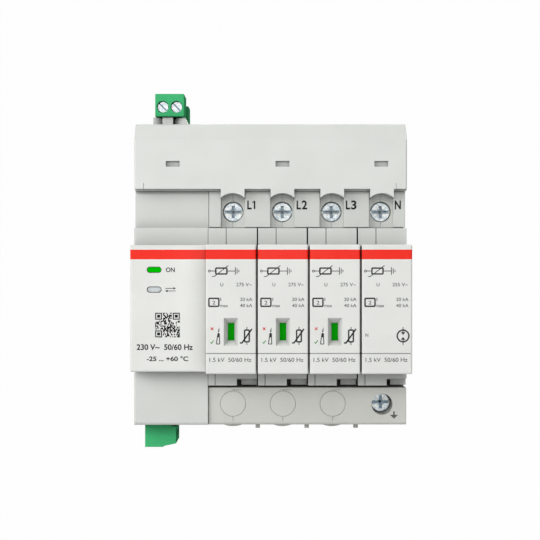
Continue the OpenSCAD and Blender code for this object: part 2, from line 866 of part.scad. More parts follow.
// Front shell of a plug-in cartridge: a wide head and a neck that enters the bay
module cartridge_shell(i, windowed) {
    x = pole_x(i);
    step_y = overhang_y - shell_t;
    rim_w = 0.4;
    line_end = 4;
    groove_in = 2.2;
    groove_w = 0.6;
    groove_d = 0.35;
    groove_back = 3;
    groove_y = cartridge_y + groove_back;
    grooves = 5;
    color(cartridge_grey) difference() {
        union() {
            soft_block([x - head_w / 2, cartridge_y, -block_top],
                [x + head_w / 2, overhang_y, block_top], edge_r);
            block([x - neck_w / 2, overhang_y - cut, -neck_top],
                [x + neck_w / 2, shell_back_y, neck_top]);
        }
        difference() {
            block([x - head_w / 2 + shell_t, cartridge_y + shell_t, -neck_top + shell_t],
                [x + head_w / 2 - shell_t, step_y, neck_top - shell_t]);
            if (windowed) {
                // Thick rim that carries the window's sloping sides
                block([x - window_w / 2 - rim_w, cartridge_y, -window_drop - window_h / 2 - rim_w],
                    [x + window_w / 2 + rim_w, sill_y, -window_drop + window_h / 2 + rim_w]);
            }
        }
        block([x - neck_w / 2 + shell_t, step_y - cut, -neck_top + shell_t],
            [x + neck_w / 2 - shell_t, shell_back_y + cut, neck_top - shell_t]);
        if (windowed) {
            window_cut(x, -window_drop);
        }
        // Grip line across the front and down both sides of the head
        difference() {
            block([x - head_w, cartridge_y - cut, -grip_z - line_w],
                [x + head_w, overhang_y - line_end, -grip_z]);
            block([x - head_w / 2 + line_d, cartridge_y + line_d, -grip_z - cut],
                [x + head_w / 2 - line_d, overhang_y, -grip_z + cut]);
        }
        // Grooves for the fingers on the upper and lower end of the head
        for (k = [0 : grooves - 1], side = [-1, 1]) {
            y = groove_y + 2 * k * groove_w;
            z = side * block_top;
            block([x - head_w / 2 + groove_in, y, z - groove_d],
                [x + head_w / 2 - groove_in, y + groove_w, z + groove_d]);
        }
    }
}

// Plate that closes a cartridge at its rear and carries the blades
module cartridge_base(i) {
    x = pole_x(i);
    plug_fit = 0.15;
    plug_l = 3;
    slot_fit = 0.05;
    hollow_d = 2;
    hollow_z = 0.6 * blade_z;
    color(deep_grey) difference() {
        union() {
            block([x - neck_w / 2, shell_back_y, -neck_top],
                [x + neck_w / 2, shell_back_y + closing_t, neck_top]);
            block([x - neck_w / 2 + shell_t + plug_fit, shell_back_y - plug_l,
                    -neck_top + shell_t + plug_fit],
                [x + neck_w / 2 - shell_t - plug_fit, shell_back_y + cut,
                    neck_top - shell_t - plug_fit]);
        }
        block([x - neck_w / 2 + 2 * shell_t + plug_fit, shell_back_y - plug_l - cut, -hollow_z],
            [x + neck_w / 2 - 2 * shell_t - plug_fit, shell_back_y + hollow_d, hollow_z]);
        for (z = [-blade_z, blade_z]) {
            block([x - blade_t / 2 - slot_fit, blade_back_y - cut, z - blade_w / 2 - slot_fit],
                [x + blade_t / 2 + slot_fit, floor_y, z + blade_w / 2 + slot_fit]);
        }
    }
}

// Two blades with pointed tips, and what joins them inside the cartridge: the strip that
// lets go and frees the flag when the varistor heats up, or the clips of the gas tube
module cartridge_blades(i, tripping) {
    x = pole_x(i);
    side_x = neck_w / 2 - shell_t - inner_fit;
    strip_back = blade_back_y + blade_t;
    arm_t = 0.6;
    arm_w = 3;
    foot = 4;
    point = 0.8;
    clip_w = 4;
    clip_t = 0.8;
    color(copper) {
        for (z = [-blade_z, blade_z]) {
            layer(z - blade_w / 2, z + blade_w / 2) polygon([
                [blade_back_y, x - blade_t / 2], [blade_tip_y - point, x - blade_t / 2],
                [blade_tip_y, x - blade_t / 4], [blade_tip_y, x + blade_t / 4],
                [blade_tip_y - point, x + blade_t / 2], [blade_back_y, x + blade_t / 2]
            ]);
        }
        if (tripping) {
            block([x, blade_back_y, blade_z - blade_w / 2],
                [x + side_x + arm_t, strip_back, blade_z + blade_w / 2]);
            block([x + side_x, blade_back_y - foot, -foot],
                [x + side_x + arm_t, strip_back, blade_z + blade_w / 2]);
            block([x + side_x, flag_back_y + 4 * flag_gap, -foot],
                [x + side_x + arm_t, blade_back_y - foot + cut, -foot + arm_w]);
        } else {
            for (side = [-1, 1]) {
                low = side > 0 ? gas_half : -gas_half - clip_t;
                block([x - clip_w / 2, gas_y - clip_w, low],
                    [x + clip_w / 2, strip_back, low + clip_t]);
            }
        }
    }
}

module varistor(i) {
    x = pole_x(i);
    half_t = neck_w / 2 - shell_t - inner_fit;
    reach = blade_z + inner_past;
    corner_r = 3;
    color([0.2, 0.3, 0.55]) across(x - half_t, x + half_t)
        all_round(flag_back_y + 6 * flag_gap, blade_back_y, -reach, reach, corner_r);
}

// Gas discharge tube: a ceramic body with a metal cap at each end
module gas_tube() {
    cap_l = 3;
    cap_w = 0.75 * gas_w;
    color([0.85, 0.82, 0.78]) translate([pole_x(3), gas_y, -gas_half]) {
        cylinder(h = 2 * gas_half, r = cap_w / 2);
        translate([0, 0, cap_l]) cylinder(h = 2 * (gas_half - cap_l), r = gas_w / 2);
    }
}

// Flag behind the window: its upper part shows until it is let go
module status_flag(i) {
    x = pole_x(i);
    z = -window_drop;
    color([0.05, 0.6, 0.05])
        block([x - sight_w / 2 - flag_lap, flag_y, z - sight_h / 2 - flag_travel - flag_lap / 2],
            [x + sight_w / 2 + flag_lap, flag_back_y, z + sight_h / 2 + flag_lap]);
}

// Tub of the monitor section, open to the front between its shoulders, with its upper
// end set back to the terminal faces
module monitor_base() {
    inner_left = left + wall;
    inner_right = monitor_right - wall;
    rib_x = pcb_x + board_t / 2;
    rib_t = 1.6;
    rib_l = 6;
    rib_reach = 4;
    ledge = 8;
    panel_in = 2.4;
    louvre_y = shoulder_y + louvre_back;
    louvre_room = 18;
    color(light_grey) {
        difference() {
            intersection() {
                across(base_left, monitor_right) rail_back(shoulder_y);
                layer(-body_top, body_top)
                    front_round(shoulder_y, back_d, base_left, monitor_right, gap, edge_r);
                across(base_left, monitor_right)
                    front_round(shoulder_y, back_d, -body_top, body_top, edge_r / 2, 2 * edge_r);
            }
            block([base_left - cut, shoulder_y - cut, strip_top],
                [monitor_right + cut, label_y, body_top + cut]);
            top_bevel(base_left, monitor_right);
            block([inner_left, shoulder_y - cut, -bay_top], [inner_right, pcb_y + ledge, bay_top]);
            block([inner_left, shoulder_y + wall, -body_top + wall],
                [inner_right, -wall, strip_top - wall]);
            block([inner_left, label_y + wall, -strip_top],
                [inner_right, -wall, body_top - wall]);
            latch_way(monitor_x);
            back_panels(left + panel_in, monitor_right - panel_in,
                groove_top + panel_in, body_top - panel_in);
            louvres(base_left, louvre_y, louvre_y + louvre_room, strip_top, body_top - panel_in);
            louvres(base_left, louvre_y, louvre_y + louvre_room, -body_top + panel_in, -strip_top);
            block([data_header_left - gap, data_header_y - gap, -body_top - cut],
                [data_header_right + gap, data_header_back_y + gap, -body_top + wall + cut]);
        }
        // Ribs that grip the rear edge of the circuit board
        for (z = [-0.6 * pcb_top, 0.6 * pcb_top], side = [-1, 1]) {
            mid = rib_x + side * (board_t / 2 + gap + rib_t / 2);
            block([mid - rib_t / 2, pcb_back_y - rib_reach, z - rib_l / 2],
                [mid + rib_t / 2, -wall + gap, z + rib_l / 2]);
        }
    }
}

// Stadium outline of a light window
module light_outline(z, w, h) {
    end_r = 0.99 * h / 2;
    all_round(light_x - w / 2, light_x + w / 2, z - h / 2, z + h / 2, end_r);
}

// Front cover of the monitor section, with two light windows
module monitor_front() {
    skirt = 4;
    color(cartridge_grey) difference() {
        union() {
            soft_block([left, monitor_y, -block_top], [monitor_right, shoulder_y, block_top],
                edge_r);
            block([left + wall + bay_fit, shoulder_y - cut, -neck_top],
                [monitor_right - wall - bay_fit, shoulder_y + skirt, neck_top]);
        }
        block([left + wall + bay_fit + shell_t, monitor_y + shell_t, -neck_top + shell_t],
            [monitor_right - wall - bay_fit - shell_t, shoulder_y + skirt + cut,
                neck_top - shell_t]);
        for (z = [light_z, data_light_z]) {
            facing(monitor_y - cut, monitor_y + shell_t + cut)
                light_outline(z, light_w + 2 * light_fit, light_h + 2 * light_fit);
        }
    }
}

// Clear rod that carries a lamp's light to the front, with a flange behind the wall
module light_guide(z, tint) {
    flange_w = 1.6;
    flange_t = 1;
    color(tint) {
        facing(monitor_y + light_sink, guide_back_y) light_outline(z, light_w, light_h);
        facing(monitor_y + shell_t, monitor_y + shell_t + flange_t)
            light_outline(z, light_w + flange_w, light_h + flange_w);
    }
}

module circuit_board() {
    color(board_green) block([pcb_x, pcb_y, -pcb_top], [pcb_x + board_t, pcb_back_y, pcb_top]);
}

// Lamps, transformer, relay, processor, clamp block and capacitors, all seated on the board
module board_components() {
    lamp_w = 2.4;
    lamp_l = 4;
    lamp_gap = 0.3;
    length = pcb_back_y - pcb_y;
    right_room = monitor_right - wall - pcb_x - board_t;
    left_room = pcb_x - left - wall;
    // Shares of the board's length and half height, and of the room at its right
    right_parts = [
        [0.11, 0.47, 0.2, 0.85, 0.58],
        [0.53, 0.81, 0.15, 0.85, 0.45],
        [0.17, 0.39, -0.45, -0.05, 0.1]
    ];
    // The same at its left
    clamp_block = [0.56, 0.86, -0.8, 0.1, 0.65];
    capacitor_y = [0.5, 0.72];
    capacitor_r = 0.15 * pcb_top;
    capacitor_z = -0.6 * pcb_top;
    color([0.15, 0.15, 0.16]) {
        for (z = [light_z, data_light_z]) {
            block([light_x - lamp_w / 2, guide_back_y + lamp_gap, z - lamp_w / 2],
                [pcb_x, guide_back_y + lamp_gap + lamp_l, z + lamp_w / 2]);
        }
        for (part = right_parts) {
            block([pcb_x + board_t, pcb_y + part[0] * length, part[2] * pcb_top],
                [pcb_x + board_t + part[4] * right_room, pcb_y + part[1] * length,
                    part[3] * pcb_top]);
        }
        block([pcb_x - clamp_block[4] * left_room, pcb_y + clamp_block[0] * length,
                clamp_block[2] * pcb_top],
            [pcb_x, pcb_y + clamp_block[1] * length, clamp_block[3] * pcb_top]);
        for (share = capacitor_y) {
            translate([pcb_x + board_t, pcb_y + share * length, capacitor_z]) rotate([0, 90, 0])
                cylinder(h = 0.58 * right_room, r = capacitor_r);
        }
    }
}

// Profile of the hood, seen from the side, with the edge of its roof broken
module hood_outline(front_y, low_z, roof, chamfer_low, broken) {
    roof_y = front_y + (roof - chamfer_low) * chamfer_d / chamfer_h;
    polygon([
        [front_y, low_z], [front_y, chamfer_low],
        [roof_y - broken * chamfer_d / chamfer_l, roof - broken * chamfer_h / chamfer_l],
        [roof_y + broken, roof],
        [back_d, roof], [back_d, low_z]
    ]);
}

// Floor, back, sides and wire tubes of the hood
module hood_base() {
    low_z = body_top;
    foot_past = 0.8;
    foot_w = tube_w + 2 * foot_past;
    window_w = 7;
    window_h = 2.4;
    window_d = 0.8;
    louvre_y = hood_y + louvre_back;
    louvre_room = 24;
    louvre_in = 5;
    color(light_grey) difference() {
        union() {
            difference() {
                intersection() {
                    across(base_left, right)
                        hood_outline(face_y + gap, low_z, roof_z, inner_low_z, edge_r);
                    layer(low_z, hood_top)
                        front_round(face_y + gap, back_d, base_left, right, edge_r / 2, edge_r / 2);
                }
                block([left + wall, hood_y, low_z + wall],
                    [right - wall, back_d - wall, hood_top + cut]);
            }
            for (i = [0 : poles - 1]) {
                wire_way(pole_x(i), low_z, hood_top, tube_w);
                wire_way(pole_x(i), low_z, board_z, foot_w);
            }
        }
        for (i = [0 : poles - 1]) {
            wire_way(pole_x(i), low_z - cut, hood_top + cut, wire_w);
        }
        // Louvres in both sides, and sunk windows for the cover's catches in the back
        for (x = [base_left, right]) {
            louvres(x, louvre_y, louvre_y + louvre_room, low_z + louvre_in, roof_z - louvre_in);
        }
        for (x = [monitor_x, pole_x(0), pole_x(2), pole_x(3)]) {
            facing(back_d - window_d, back_d + cut) all_round(x - window_w / 2, x + window_w / 2,
                roof_z - 2 * window_h, roof_z - window_h, window_h / 4);
        }
    }
}

// Front and roof of the hood, with a tongue over each screw channel
module hood_cover() {
    low_z = body_top + hood_gap;
    pocket_w = 4.9;
    pocket_h = 2;
    pocket_d = 1.2;
    pocket_up = 9.45;
    pocket_past = 0.9;
    pocket_in = 0.3;
    pocket_z = body_top + pocket_up;
    slit_in = 3.85;
    slit_h = 2.1;
    slit_w = 0.16;
    tongue_fit = 0.3;
    color(light_grey) {
        difference() {
            union() {
                intersection() {
                    across(base_left, right) difference() {
                        hood_outline(hood_y, low_z, hood_top, hood_top - chamfer_h, edge_r);
                        hood_outline(face_y, low_z - cut, roof_z, inner_low_z, 0);
                        translate([face_y, low_z - cut])
                            square([back_d - face_y + cut, inner_low_z - low_z + cut]);
                        translate([0, low_z - cut])
                            square([2 * back_d, roof_z - low_z + cut]);
                    }
                    layer(low_z, hood_top)
                        front_round(hood_y, back_d, base_left, right, edge_r, edge_r);
                }
                // Tongues whose lower edge runs round the screw
                for (i = [0 : poles - 1]) {
                    x = pole_x(i);
                    half = channel_w / 2 - gap;
                    difference() {
                        union() {
                            block([x - half, hood_y, screw_z], [x + half, face_y, low_z + cut]);
                            block([x - half, hood_y, screw_z],
                                [x + half, channel_y - tongue_fit, body_top - gap]);
                        }
                        rod(x, screw_z, hood_y - cut, channel_y + cut, tongue_r);
                    }
                }
                pedestal();
            }
            for (i = [0 : poles - 1]) {
                wire_way(pole_x(i), roof_z - cut, hood_top + cut, tube_w + 2 * gap);
            }
            // Three latch pockets in the face and two fine slits at its lower edge
            for (x = [monitor_x + pocket_past, pole_x(1), pole_x(poles - 1) - pocket_in]) {
                block([x - pocket_w / 2, hood_y - cut, pocket_z - pocket_h / 2],
                    [x + pocket_w / 2, hood_y + pocket_d, pocket_z + pocket_h / 2]);
            }
            for (x = [left + slit_in, right - slit_in]) {
                block([x - slit_w / 2, hood_y - cut, low_z - cut],
                    [x + slit_w / 2, hood_y + slit_w, low_z + slit_h]);
            }
        }
    }
}

// Pedestal of the supply connector: a rib between two hollows with round backs
module pedestal() {
    ped_past_left = 0.75;
    ped_past_right = 0.5;
    ped_back = 1;
    rib_reach_left = 2.73;
    rib_reach_right = 1.18;
    ped_left = supply_x - supply_w / 2 - ped_past_left;
    ped_right = header_right + ped_past_right;
    ped_y = supply_y + ped_back;
    rib_left = supply_x - rib_reach_left;
    rib_right = supply_x + rib_reach_right;
    flank_r = 9;
    left_r = rib_left - ped_left;
    right_r = ped_right - rib_right;
    back_y = header_y - nose_fit;
    intersection() {
        layer(hood_top - gap, hood_top + pedestal_h) {
            translate([ped_y, rib_left]) square([back_y - ped_y, rib_right - rib_left]);
            translate([ped_y + left_r, ped_left]) circle(left_r);
            translate([ped_y + left_r, ped_left]) square([back_y - ped_y - left_r, left_r]);
            translate([ped_y + right_r, ped_right]) circle(right_r);
            translate([ped_y + right_r, rib_right]) square([back_y - ped_y - right_r, right_r]);
        }
        facing(ped_y, back_y) {
            translate([ped_left, hood_top - gap])
                square([ped_right - flank_r - ped_left, pedestal_h + gap]);
            intersection() {
                translate([ped_right - flank_r, hood_top]) circle(flank_r);
                translate([ped_right - flank_r, hood_top - gap]) square([flank_r, pedestal_h + gap]);
            }
        }
    }
}

// Board of the current sensors, which rests on the shoulders of the wire tubes
module sensor_board() {
    edge_fit = 0.7;
    color(board_green) difference() {
        block([left + wall + edge_fit, face_y + 3 * edge_fit, board_z],
            [right - wall - edge_fit, back_d - wall - edge_fit, board_z + board_t]);
        for (i = [0 : poles - 1]) {
            wire_way(pole_x(i), board_z - cut, board_z + board_t + cut, tube_w + 6 * gap);
        }
    }
}

// Ring cores round the wire tubes
module current_sensors() {
    low_z = board_z + board_t;
    color([0.12, 0.12, 0.13]) for (i = [0 : poles - 1]) {
        difference() {
            wire_way(pole_x(i), low_z, low_z + sensor_h, sensor_w);
            wire_way(pole_x(i), low_z - cut, low_z + sensor_h + cut, tube_w + 4 * gap);
        }
    }
}

// Socket of the supply connector behind the plug, with its two pins
module supply_header() {
    low_z = supply_nose_z - nose_fit;
    back_t = 1.8;
    pin_z = supply_nose_z + supply_nose_h / 2;
    color(connector_green) {
        difference() {
            block([header_left, header_y, hood_top], [header_right, header_back_y, header_top]);
            block([supply_x - supply_nose_w / 2 - nose_fit, header_y - cut, low_z],
                [supply_x + supply_nose_w / 2 + nose_fit, header_back_y - back_t,
                    supply_nose_z + supply_nose_h + nose_fit]);
        }
        for (side = [-1, 1]) {
            pin_x = supply_x + side * supply_pitch / 2;
            block([pin_x - pin_w / 2, header_y + pin_w, pin_z - pin_w / 2],
                [pin_x + pin_w / 2, header_back_y - back_t + gap, pin_z + pin_w / 2]);
        }
    }
}

// Two-way screw plug that pulls off to the front, with its wires entering from above
module supply_plug() {
    low = [supply_x - supply_w / 2, supply_y, supply_z];
    high = [supply_x + supply_w / 2, supply_back_y, supply_z + supply_h];
    well_r = small_head_w / 2 + 0.2;
    fit = 0.3;
    wire_in = 0.4;
    wire_l = 3.2;
    pin_hole = pin_w + 2 * nose_fit;
    pin_z = supply_nose_z + supply_nose_h / 2;
    color(connector_green) difference() {
        union() {
            soft_block(low, high, edge_r / 2);
            block([supply_x - supply_nose_w / 2, supply_back_y - cut, supply_nose_z],
                [supply_x + supply_nose_w / 2, supply_back_y + nose_l,
                    supply_nose_z + supply_nose_h]);
        }
        for (side = [-1, 1]) {
            x = supply_x + side * supply_pitch / 2;
            half = small_cage_w / 2 + 2 * gap;
            rod(x, supply_screw_z, supply_y - cut, small_cage_y - small_travel, well_r);
            block([x - half, small_cage_y - small_travel - fit,
                    supply_screw_z - small_cage_h / 2 - fit],
                [x + half, small_cage_y + small_cage_l + fit,
                    supply_screw_z + small_cage_h / 2 + fit]);
            block([x - wire_l / 2, small_cage_y + wire_in, supply_screw_z],
                [x + wire_l / 2, small_cage_y + wire_in + wire_l, supply_z + supply_h + cut]);
            block([x - pin_hole / 2, supply_back_y - pin_w / 2, pin_z - pin_hole / 2],
                [x + pin_hole / 2, supply_back_y + nose_l + cut, pin_z + pin_hole / 2]);
        }
    }
}

// Slotted clamp screw of the supply plug
module supply_screw(side) {
    x = supply_x + side * supply_pitch / 2;
    y = supply_y + small_sink;
    drive_w = 0.5;
    drive_d = 0.8;
    color(zinc) difference() {
        union() {
            rod(x, supply_screw_z, y, y + small_head_t, small_head_w / 2);
            rod(x, supply_screw_z, y + small_head_t - gap, small_cage_y + small_cage_t + 6 * gap,
                small_shank_w / 2);
        }
        translate([x, y, supply_screw_z]) rotate([0, 45, 0])
            block([-small_head_w, -cut, -drive_w / 2], [small_head_w, drive_d, drive_w / 2]);
    }
}

module supply_clamp(side) {
    x = supply_x + side * supply_pitch / 2;
    z = supply_screw_z;
    wall_t = 0.6;
    color(zinc) difference() {
        block([x - small_cage_w / 2, small_cage_y, z - small_cage_h / 2],
            [x + small_cage_w / 2, small_cage_y + small_cage_l, z + small_cage_h / 2]);
        block([x - small_cage_w / 2 + wall_t, small_cage_y + small_cage_t,
                z - small_cage_h / 2 - cut],
            [x + small_cage_w / 2 - wall_t, small_cage_y + small_cage_l - wall_t,
                z + small_cage_h / 2 + cut]);
        rod(x, z, small_cage_y - cut, small_cage_y + small_cage_t + cut,
            small_shank_w / 2 + gap);
    }
}

// Middle of one way of the data connector
function data_way_y(way) = data_y + (way + 0.5) * data_pitch;

// Socket of the data connector in the bottom of the monitor section, with four pins
module data_header() {
    flange_w = 0.7;
    flange_t = 1.4;
    color(connector_green) {
        difference() {
            union() {
                block([data_header_left, data_header_y, -body_top + gap / 2],
                    [data_header_right, data_header_back_y, data_header_top]);
                // Flange that rests on the inside of the housing's bottom wall
                block([data_header_left - flange_w, data_header_y - flange_w, -body_top + wall],
                    [data_header_right + flange_w, data_header_back_y + flange_w,
                        -body_top + wall + flange_t]);
            }
            block([data_nose_left - nose_fit, data_y - nose_fit, -body_top - cut],
                [data_nose_right + nose_fit, data_back_y + nose_fit, data_nose_top + nose_fit]);
        }
        for (way = [0 : 3]) {
            y = data_way_y(way);
            block([data_pin_x - pin_w / 2, y - pin_w / 2, -body_top + 1.5 * pin_w],
                [data_pin_x + pin_w / 2, y + pin_w / 2, data_nose_top + nose_fit + gap]);
        }
    }
}

// Four-way plug that pulls off downward, seen from its end
module data_plug() {
    step_in = 6.554;
    step_x = data_left + step_in;
    step_w = 0.5;
    step_h = 0.4;
    slope_h = 1.3;
    notch_w = 1.6;
    notch_h = 1.3;
    pin_hole = pin_w + 2 * nose_fit;
    wire_l = 2.4;
    wire_in = 2;
    wire_x = data_left + wire_in;
    wire_h = 3;
    wire_d = 6.6;
    head_l = 3;
    color(connector_green) difference() {
        union() {
            facing(data_y, data_back_y) polygon([
                [data_left, data_top], [data_left, data_bottom], [step_x, data_bottom],
                [step_x + step_w, data_bottom + step_h], [data_right, data_bottom + slope_h],
                [data_right, data_top - notch_h], [data_right - notch_w, data_top - notch_h],
                [data_right - notch_w, data_top]
            ]);
            block([data_nose_left, data_y, data_top - cut],
                [data_nose_right, data_back_y, data_nose_top]);
        }
        for (way = [0 : 3]) {
            y = data_way_y(way);
            block([data_pin_x - pin_hole / 2, y - pin_hole / 2, -body_top + pin_w / 2],
                [data_pin_x + pin_hole / 2, y + pin_hole / 2, data_nose_top + cut]);
            block([wire_x, y - wire_l / 2, data_bottom - cut],
                [wire_x + wire_h, y + wire_l / 2, data_bottom + wire_d]);
            translate([data_right + cut, y, data_screw_z]) rotate([0, -90, 0])
                cylinder(h = head_l + cut, r = data_head_w / 2 + gap);
            translate([data_right, y, data_screw_z]) rotate([0, -90, 0])
                cylinder(h = data_right - wire_x - wire_h + gap, r = data_shank_w / 2 + gap);
        }
    }
}

// Clamp screws of the data plug, which face the right side
module data_plug_screws() {
    drive_w = 0.5;
    drive_d = 0.6;
    head_t = 1.4;
    color(zinc) for (way = [0 : 3]) {
        translate([data_right - drive_d, data_way_y(way), data_screw_z]) rotate([0, -90, 0])
            difference() {
                union() {
                    cylinder(h = head_t, r = data_head_w / 2);
                    cylinder(h = data_right - drive_d - data_clamp_x - data_clamp_t,
                        r = data_shank_w / 2);
                }
                rotate([0, 0, 45])
                    block([-data_head_w, -drive_w / 2, -cut], [data_head_w, drive_w / 2, drive_d]);
            }
    }
}

// Small clamps that hold the data wires
module data_plug_clamps() {
    clamp_w = 2.2;
    clamp_h = 3.6;
    color(zinc) for (way = [0 : 3]) {
        y = data_way_y(way);
        block([data_clamp_x, y - clamp_w / 2, data_screw_z - clamp_h / 2],
            [data_clamp_x + data_clamp_t, y + clamp_w / 2, data_screw_z + clamp_h / 2]);
    }
}

hood_base();
hood_cover();
sensor_board();
current_sensors();
monitor_base();
monitor_front();
circuit_board();
board_components();
light_guide(light_z, [0.1, 0.75, 0.1]);  // power_light_guide
light_guide(data_light_z, [0.8, 0.82, 0.83]);  // data_light_guide
supply_header();
data_header();
supply_plug();
data_plug();
supply_screw(-1);  // supply_plug_screw_1
supply_screw(1);  // supply_plug_screw_2
supply_clamp(-1);  // supply_plug_clamp_1
supply_clamp(1);  // supply_plug_clamp_2
data_plug_screws();
data_plug_clamps();
pole_base(0);  // pole_base_l1
pole_base(1);  // pole_base_l2
pole_base(2);  // pole_base_l3
pole_base(3);  // pole_base_n
terminal_comb();
lower_cover();
terminal_screw(0, 1);  // terminal_screw_l1
terminal_screw(1, 1);  // terminal_screw_l2
terminal_screw(2, 1);  // terminal_screw_l3
terminal_screw(3, 1);  // terminal_screw_n
terminal_screw(3, -1);  // terminal_screw_pe
terminal_cage(0, 1);  // terminal_cage_l1
terminal_cage(1, 1);  // terminal_cage_l2
terminal_cage(2, 1);  // terminal_cage_l3
terminal_cage(3, 1);  // terminal_cage_n
terminal_cage(3, -1);  // terminal_cage_pe
line_contacts();
neutral_bar();
earth_contact();
cartridge_shell(0, true);  // cartridge_shell_l1
cartridge_shell(1, true);  // cartridge_shell_l2
cartridge_shell(2, true);  // cartridge_shell_l3
cartridge_shell(3, false);  // cartridge_shell_n
cartridge_base(0);  // cartridge_base_l1
cartridge_base(1);  // cartridge_base_l2
cartridge_base(2);  // cartridge_base_l3
cartridge_base(3);  // cartridge_base_n
varistor(0);  // varistor_l1
varistor(1);  // varistor_l2
varistor(2);  // varistor_l3
gas_tube();
cartridge_blades(0, true);  // cartridge_blades_l1
cartridge_blades(1, true);  // cartridge_blades_l2
cartridge_blades(2, true);  // cartridge_blades_l3
cartridge_blades(3, false);  // cartridge_blades_n
status_flag(0);  // status_flag_l1
status_flag(1);  // status_flag_l2
status_flag(2);  // status_flag_l3
rail_latch(monitor_x);  // rail_latch_left
rail_latch(pole_x(3));  // rail_latch_right
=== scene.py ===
import math
import random

import bmesh
import bpy
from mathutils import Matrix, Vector


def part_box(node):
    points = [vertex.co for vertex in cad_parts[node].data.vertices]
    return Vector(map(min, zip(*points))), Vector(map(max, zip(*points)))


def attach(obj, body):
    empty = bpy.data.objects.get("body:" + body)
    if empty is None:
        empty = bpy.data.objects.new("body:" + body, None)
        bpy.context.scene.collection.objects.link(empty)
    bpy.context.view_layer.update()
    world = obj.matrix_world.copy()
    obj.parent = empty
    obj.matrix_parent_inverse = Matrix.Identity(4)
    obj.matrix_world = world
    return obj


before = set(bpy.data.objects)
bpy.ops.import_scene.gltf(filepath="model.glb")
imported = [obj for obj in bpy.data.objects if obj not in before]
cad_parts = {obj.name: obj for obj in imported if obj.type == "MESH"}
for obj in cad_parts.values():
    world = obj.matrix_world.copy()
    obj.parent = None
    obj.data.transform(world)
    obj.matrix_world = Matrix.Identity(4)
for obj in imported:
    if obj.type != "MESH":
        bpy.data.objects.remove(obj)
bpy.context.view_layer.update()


# Camera
# The device is seen straight from the front, from somewhat less than half a metre away and
# level with the upper part of its fronts.
MM = 0.001
EYE_DISTANCE, EYE_HEIGHT = 464.7 * MM, 13.45 * MM
camera = bpy.data.objects.new("camera", bpy.data.cameras.new("camera"))
camera.data.lens = 78.8
camera.data.sensor_width = 36
camera.location = (0, -EYE_DISTANCE, EYE_HEIGHT)
camera.rotation_euler = (math.radians(90), 0, 0)
bpy.context.scene.collection.objects.link(camera)
bpy.context.scene.camera = camera


# Pole housings
# Four shells of light grey polyamide stand side by side on the rail, each moulded with a
# cartridge bay, two shoulders and the rooms for its terminals.
LINES = ["l1", "l2", "l3"]
POLES = LINES + ["n"]
BLACK = (0, 0, 0, 1)
# Corners and deep gaps get painted shade, darker the less open room they face.
CORNER_START, CORNER_END = 0.95, 0.2  # openness at which corners begin and end to darken
GAP_START, GAP_END = 0.3, 0.08
PLASTIC_REACH = 9 * MM  # how far a wall still shades its corner


def srgb(red, green, blue):
    """A colour given in screen values, as Blender's shaders read it."""
    shares = [value / 255 for value in (red, green, blue)]
    linear = [s / 12.92 if s <= 0.04045 else ((s + 0.055) / 1.055) ** 2.4 for s in shares]
    return (*linear, 1)


def new_finish(name, colour, roughness, shine=0.5):
    """A material with one shader of an even colour and gloss, and its node tree."""
    material = bpy.data.materials.new(name)
    material.use_nodes = True
    shader = material.node_tree.nodes["Principled BSDF"]
    shader.inputs["Base Color"].default_value = colour
    shader.inputs["Roughness"].default_value = roughness
    shader.inputs["Specular IOR Level"].default_value = shine
    return material, material.node_tree, shader


def grain(tree, size, detail=3):
    """Cloudy values around one half, with patches of about that size."""
    place = tree.nodes.new("ShaderNodeTexCoord")
    noise = tree.nodes.new("ShaderNodeTexNoise")
    noise.inputs["Scale"].default_value = 1 / size
    noise.inputs["Detail"].default_value = detail
    tree.links.new(place.outputs["Object"], noise.inputs["Vector"])
    return noise.outputs["Fac"]


def spread(tree, value, start, end, low=0, high=1):
    """A value from low to high as the one that comes in goes from start to end."""
    node = tree.nodes.new("ShaderNodeMapRange")
    node.inputs["From Min"].default_value = start
    node.inputs["From Max"].default_value = end
    node.inputs["To Min"].default_value = low
    node.inputs["To Max"].default_value = high
    tree.links.new(value, node.inputs["Value"])
    return node.outputs["Result"]


def broken_edges(tree, shader, radius, grain_size, depth):
    """Edges that catch the light, as on any moulded or pressed piece, under a fine grain."""
    edge = tree.nodes.new("ShaderNodeBevel")
    edge.samples = 6
    edge.inputs["Radius"].default_value = radius
    bump = tree.nodes.new("ShaderNodeBump")
    bump.inputs["Strength"].default_value = 1
    bump.inputs["Distance"].default_value = depth
    tree.links.new(grain(tree, grain_size), bump.inputs["Height"])
    tree.links.new(edge.outputs["Normal"], bump.inputs["Normal"])
    tree.links.new(bump.outputs["Normal"], shader.inputs["Normal"])


def lay_over(tree, shader, mask, colour):
    """Lays a second colour over the one that the shader has, where the mask is 1."""
    base = shader.inputs["Base Color"]
    tint = tree.nodes.new("ShaderNodeMix")
    tint.data_type = "RGBA"
    tint.inputs["A"].default_value = base.default_value
    tint.inputs["B"].default_value = colour
    if base.is_linked:
        tree.links.new(base.links[0].from_socket, tint.inputs["A"])
    tree.links.new(mask, tint.inputs["Factor"])
    tree.links.new(tint.outputs["Result"], base)


def paint_shade_in_recesses(tree, shader, reach, corner_share, gap_share):
    """Paints shade into corners and deep gaps, taking up to those shares of their colour."""
    openness = tree.nodes.new("ShaderNodeAmbientOcclusion")
    openness.samples = 8
    openness.inputs["Distance"].default_value = reach
    for start, end, most in ((CORNER_START, CORNER_END, corner_share),
                             (GAP_START, GAP_END, gap_share)):
        lay_over(tree, shader, spread(tree, openness.outputs["AO"], start, end, high=most), BLACK)


def darker(colour, share):
    """The same colour with that share of its light."""
    return tuple(share * part for part in colour[:3]) + (1,)


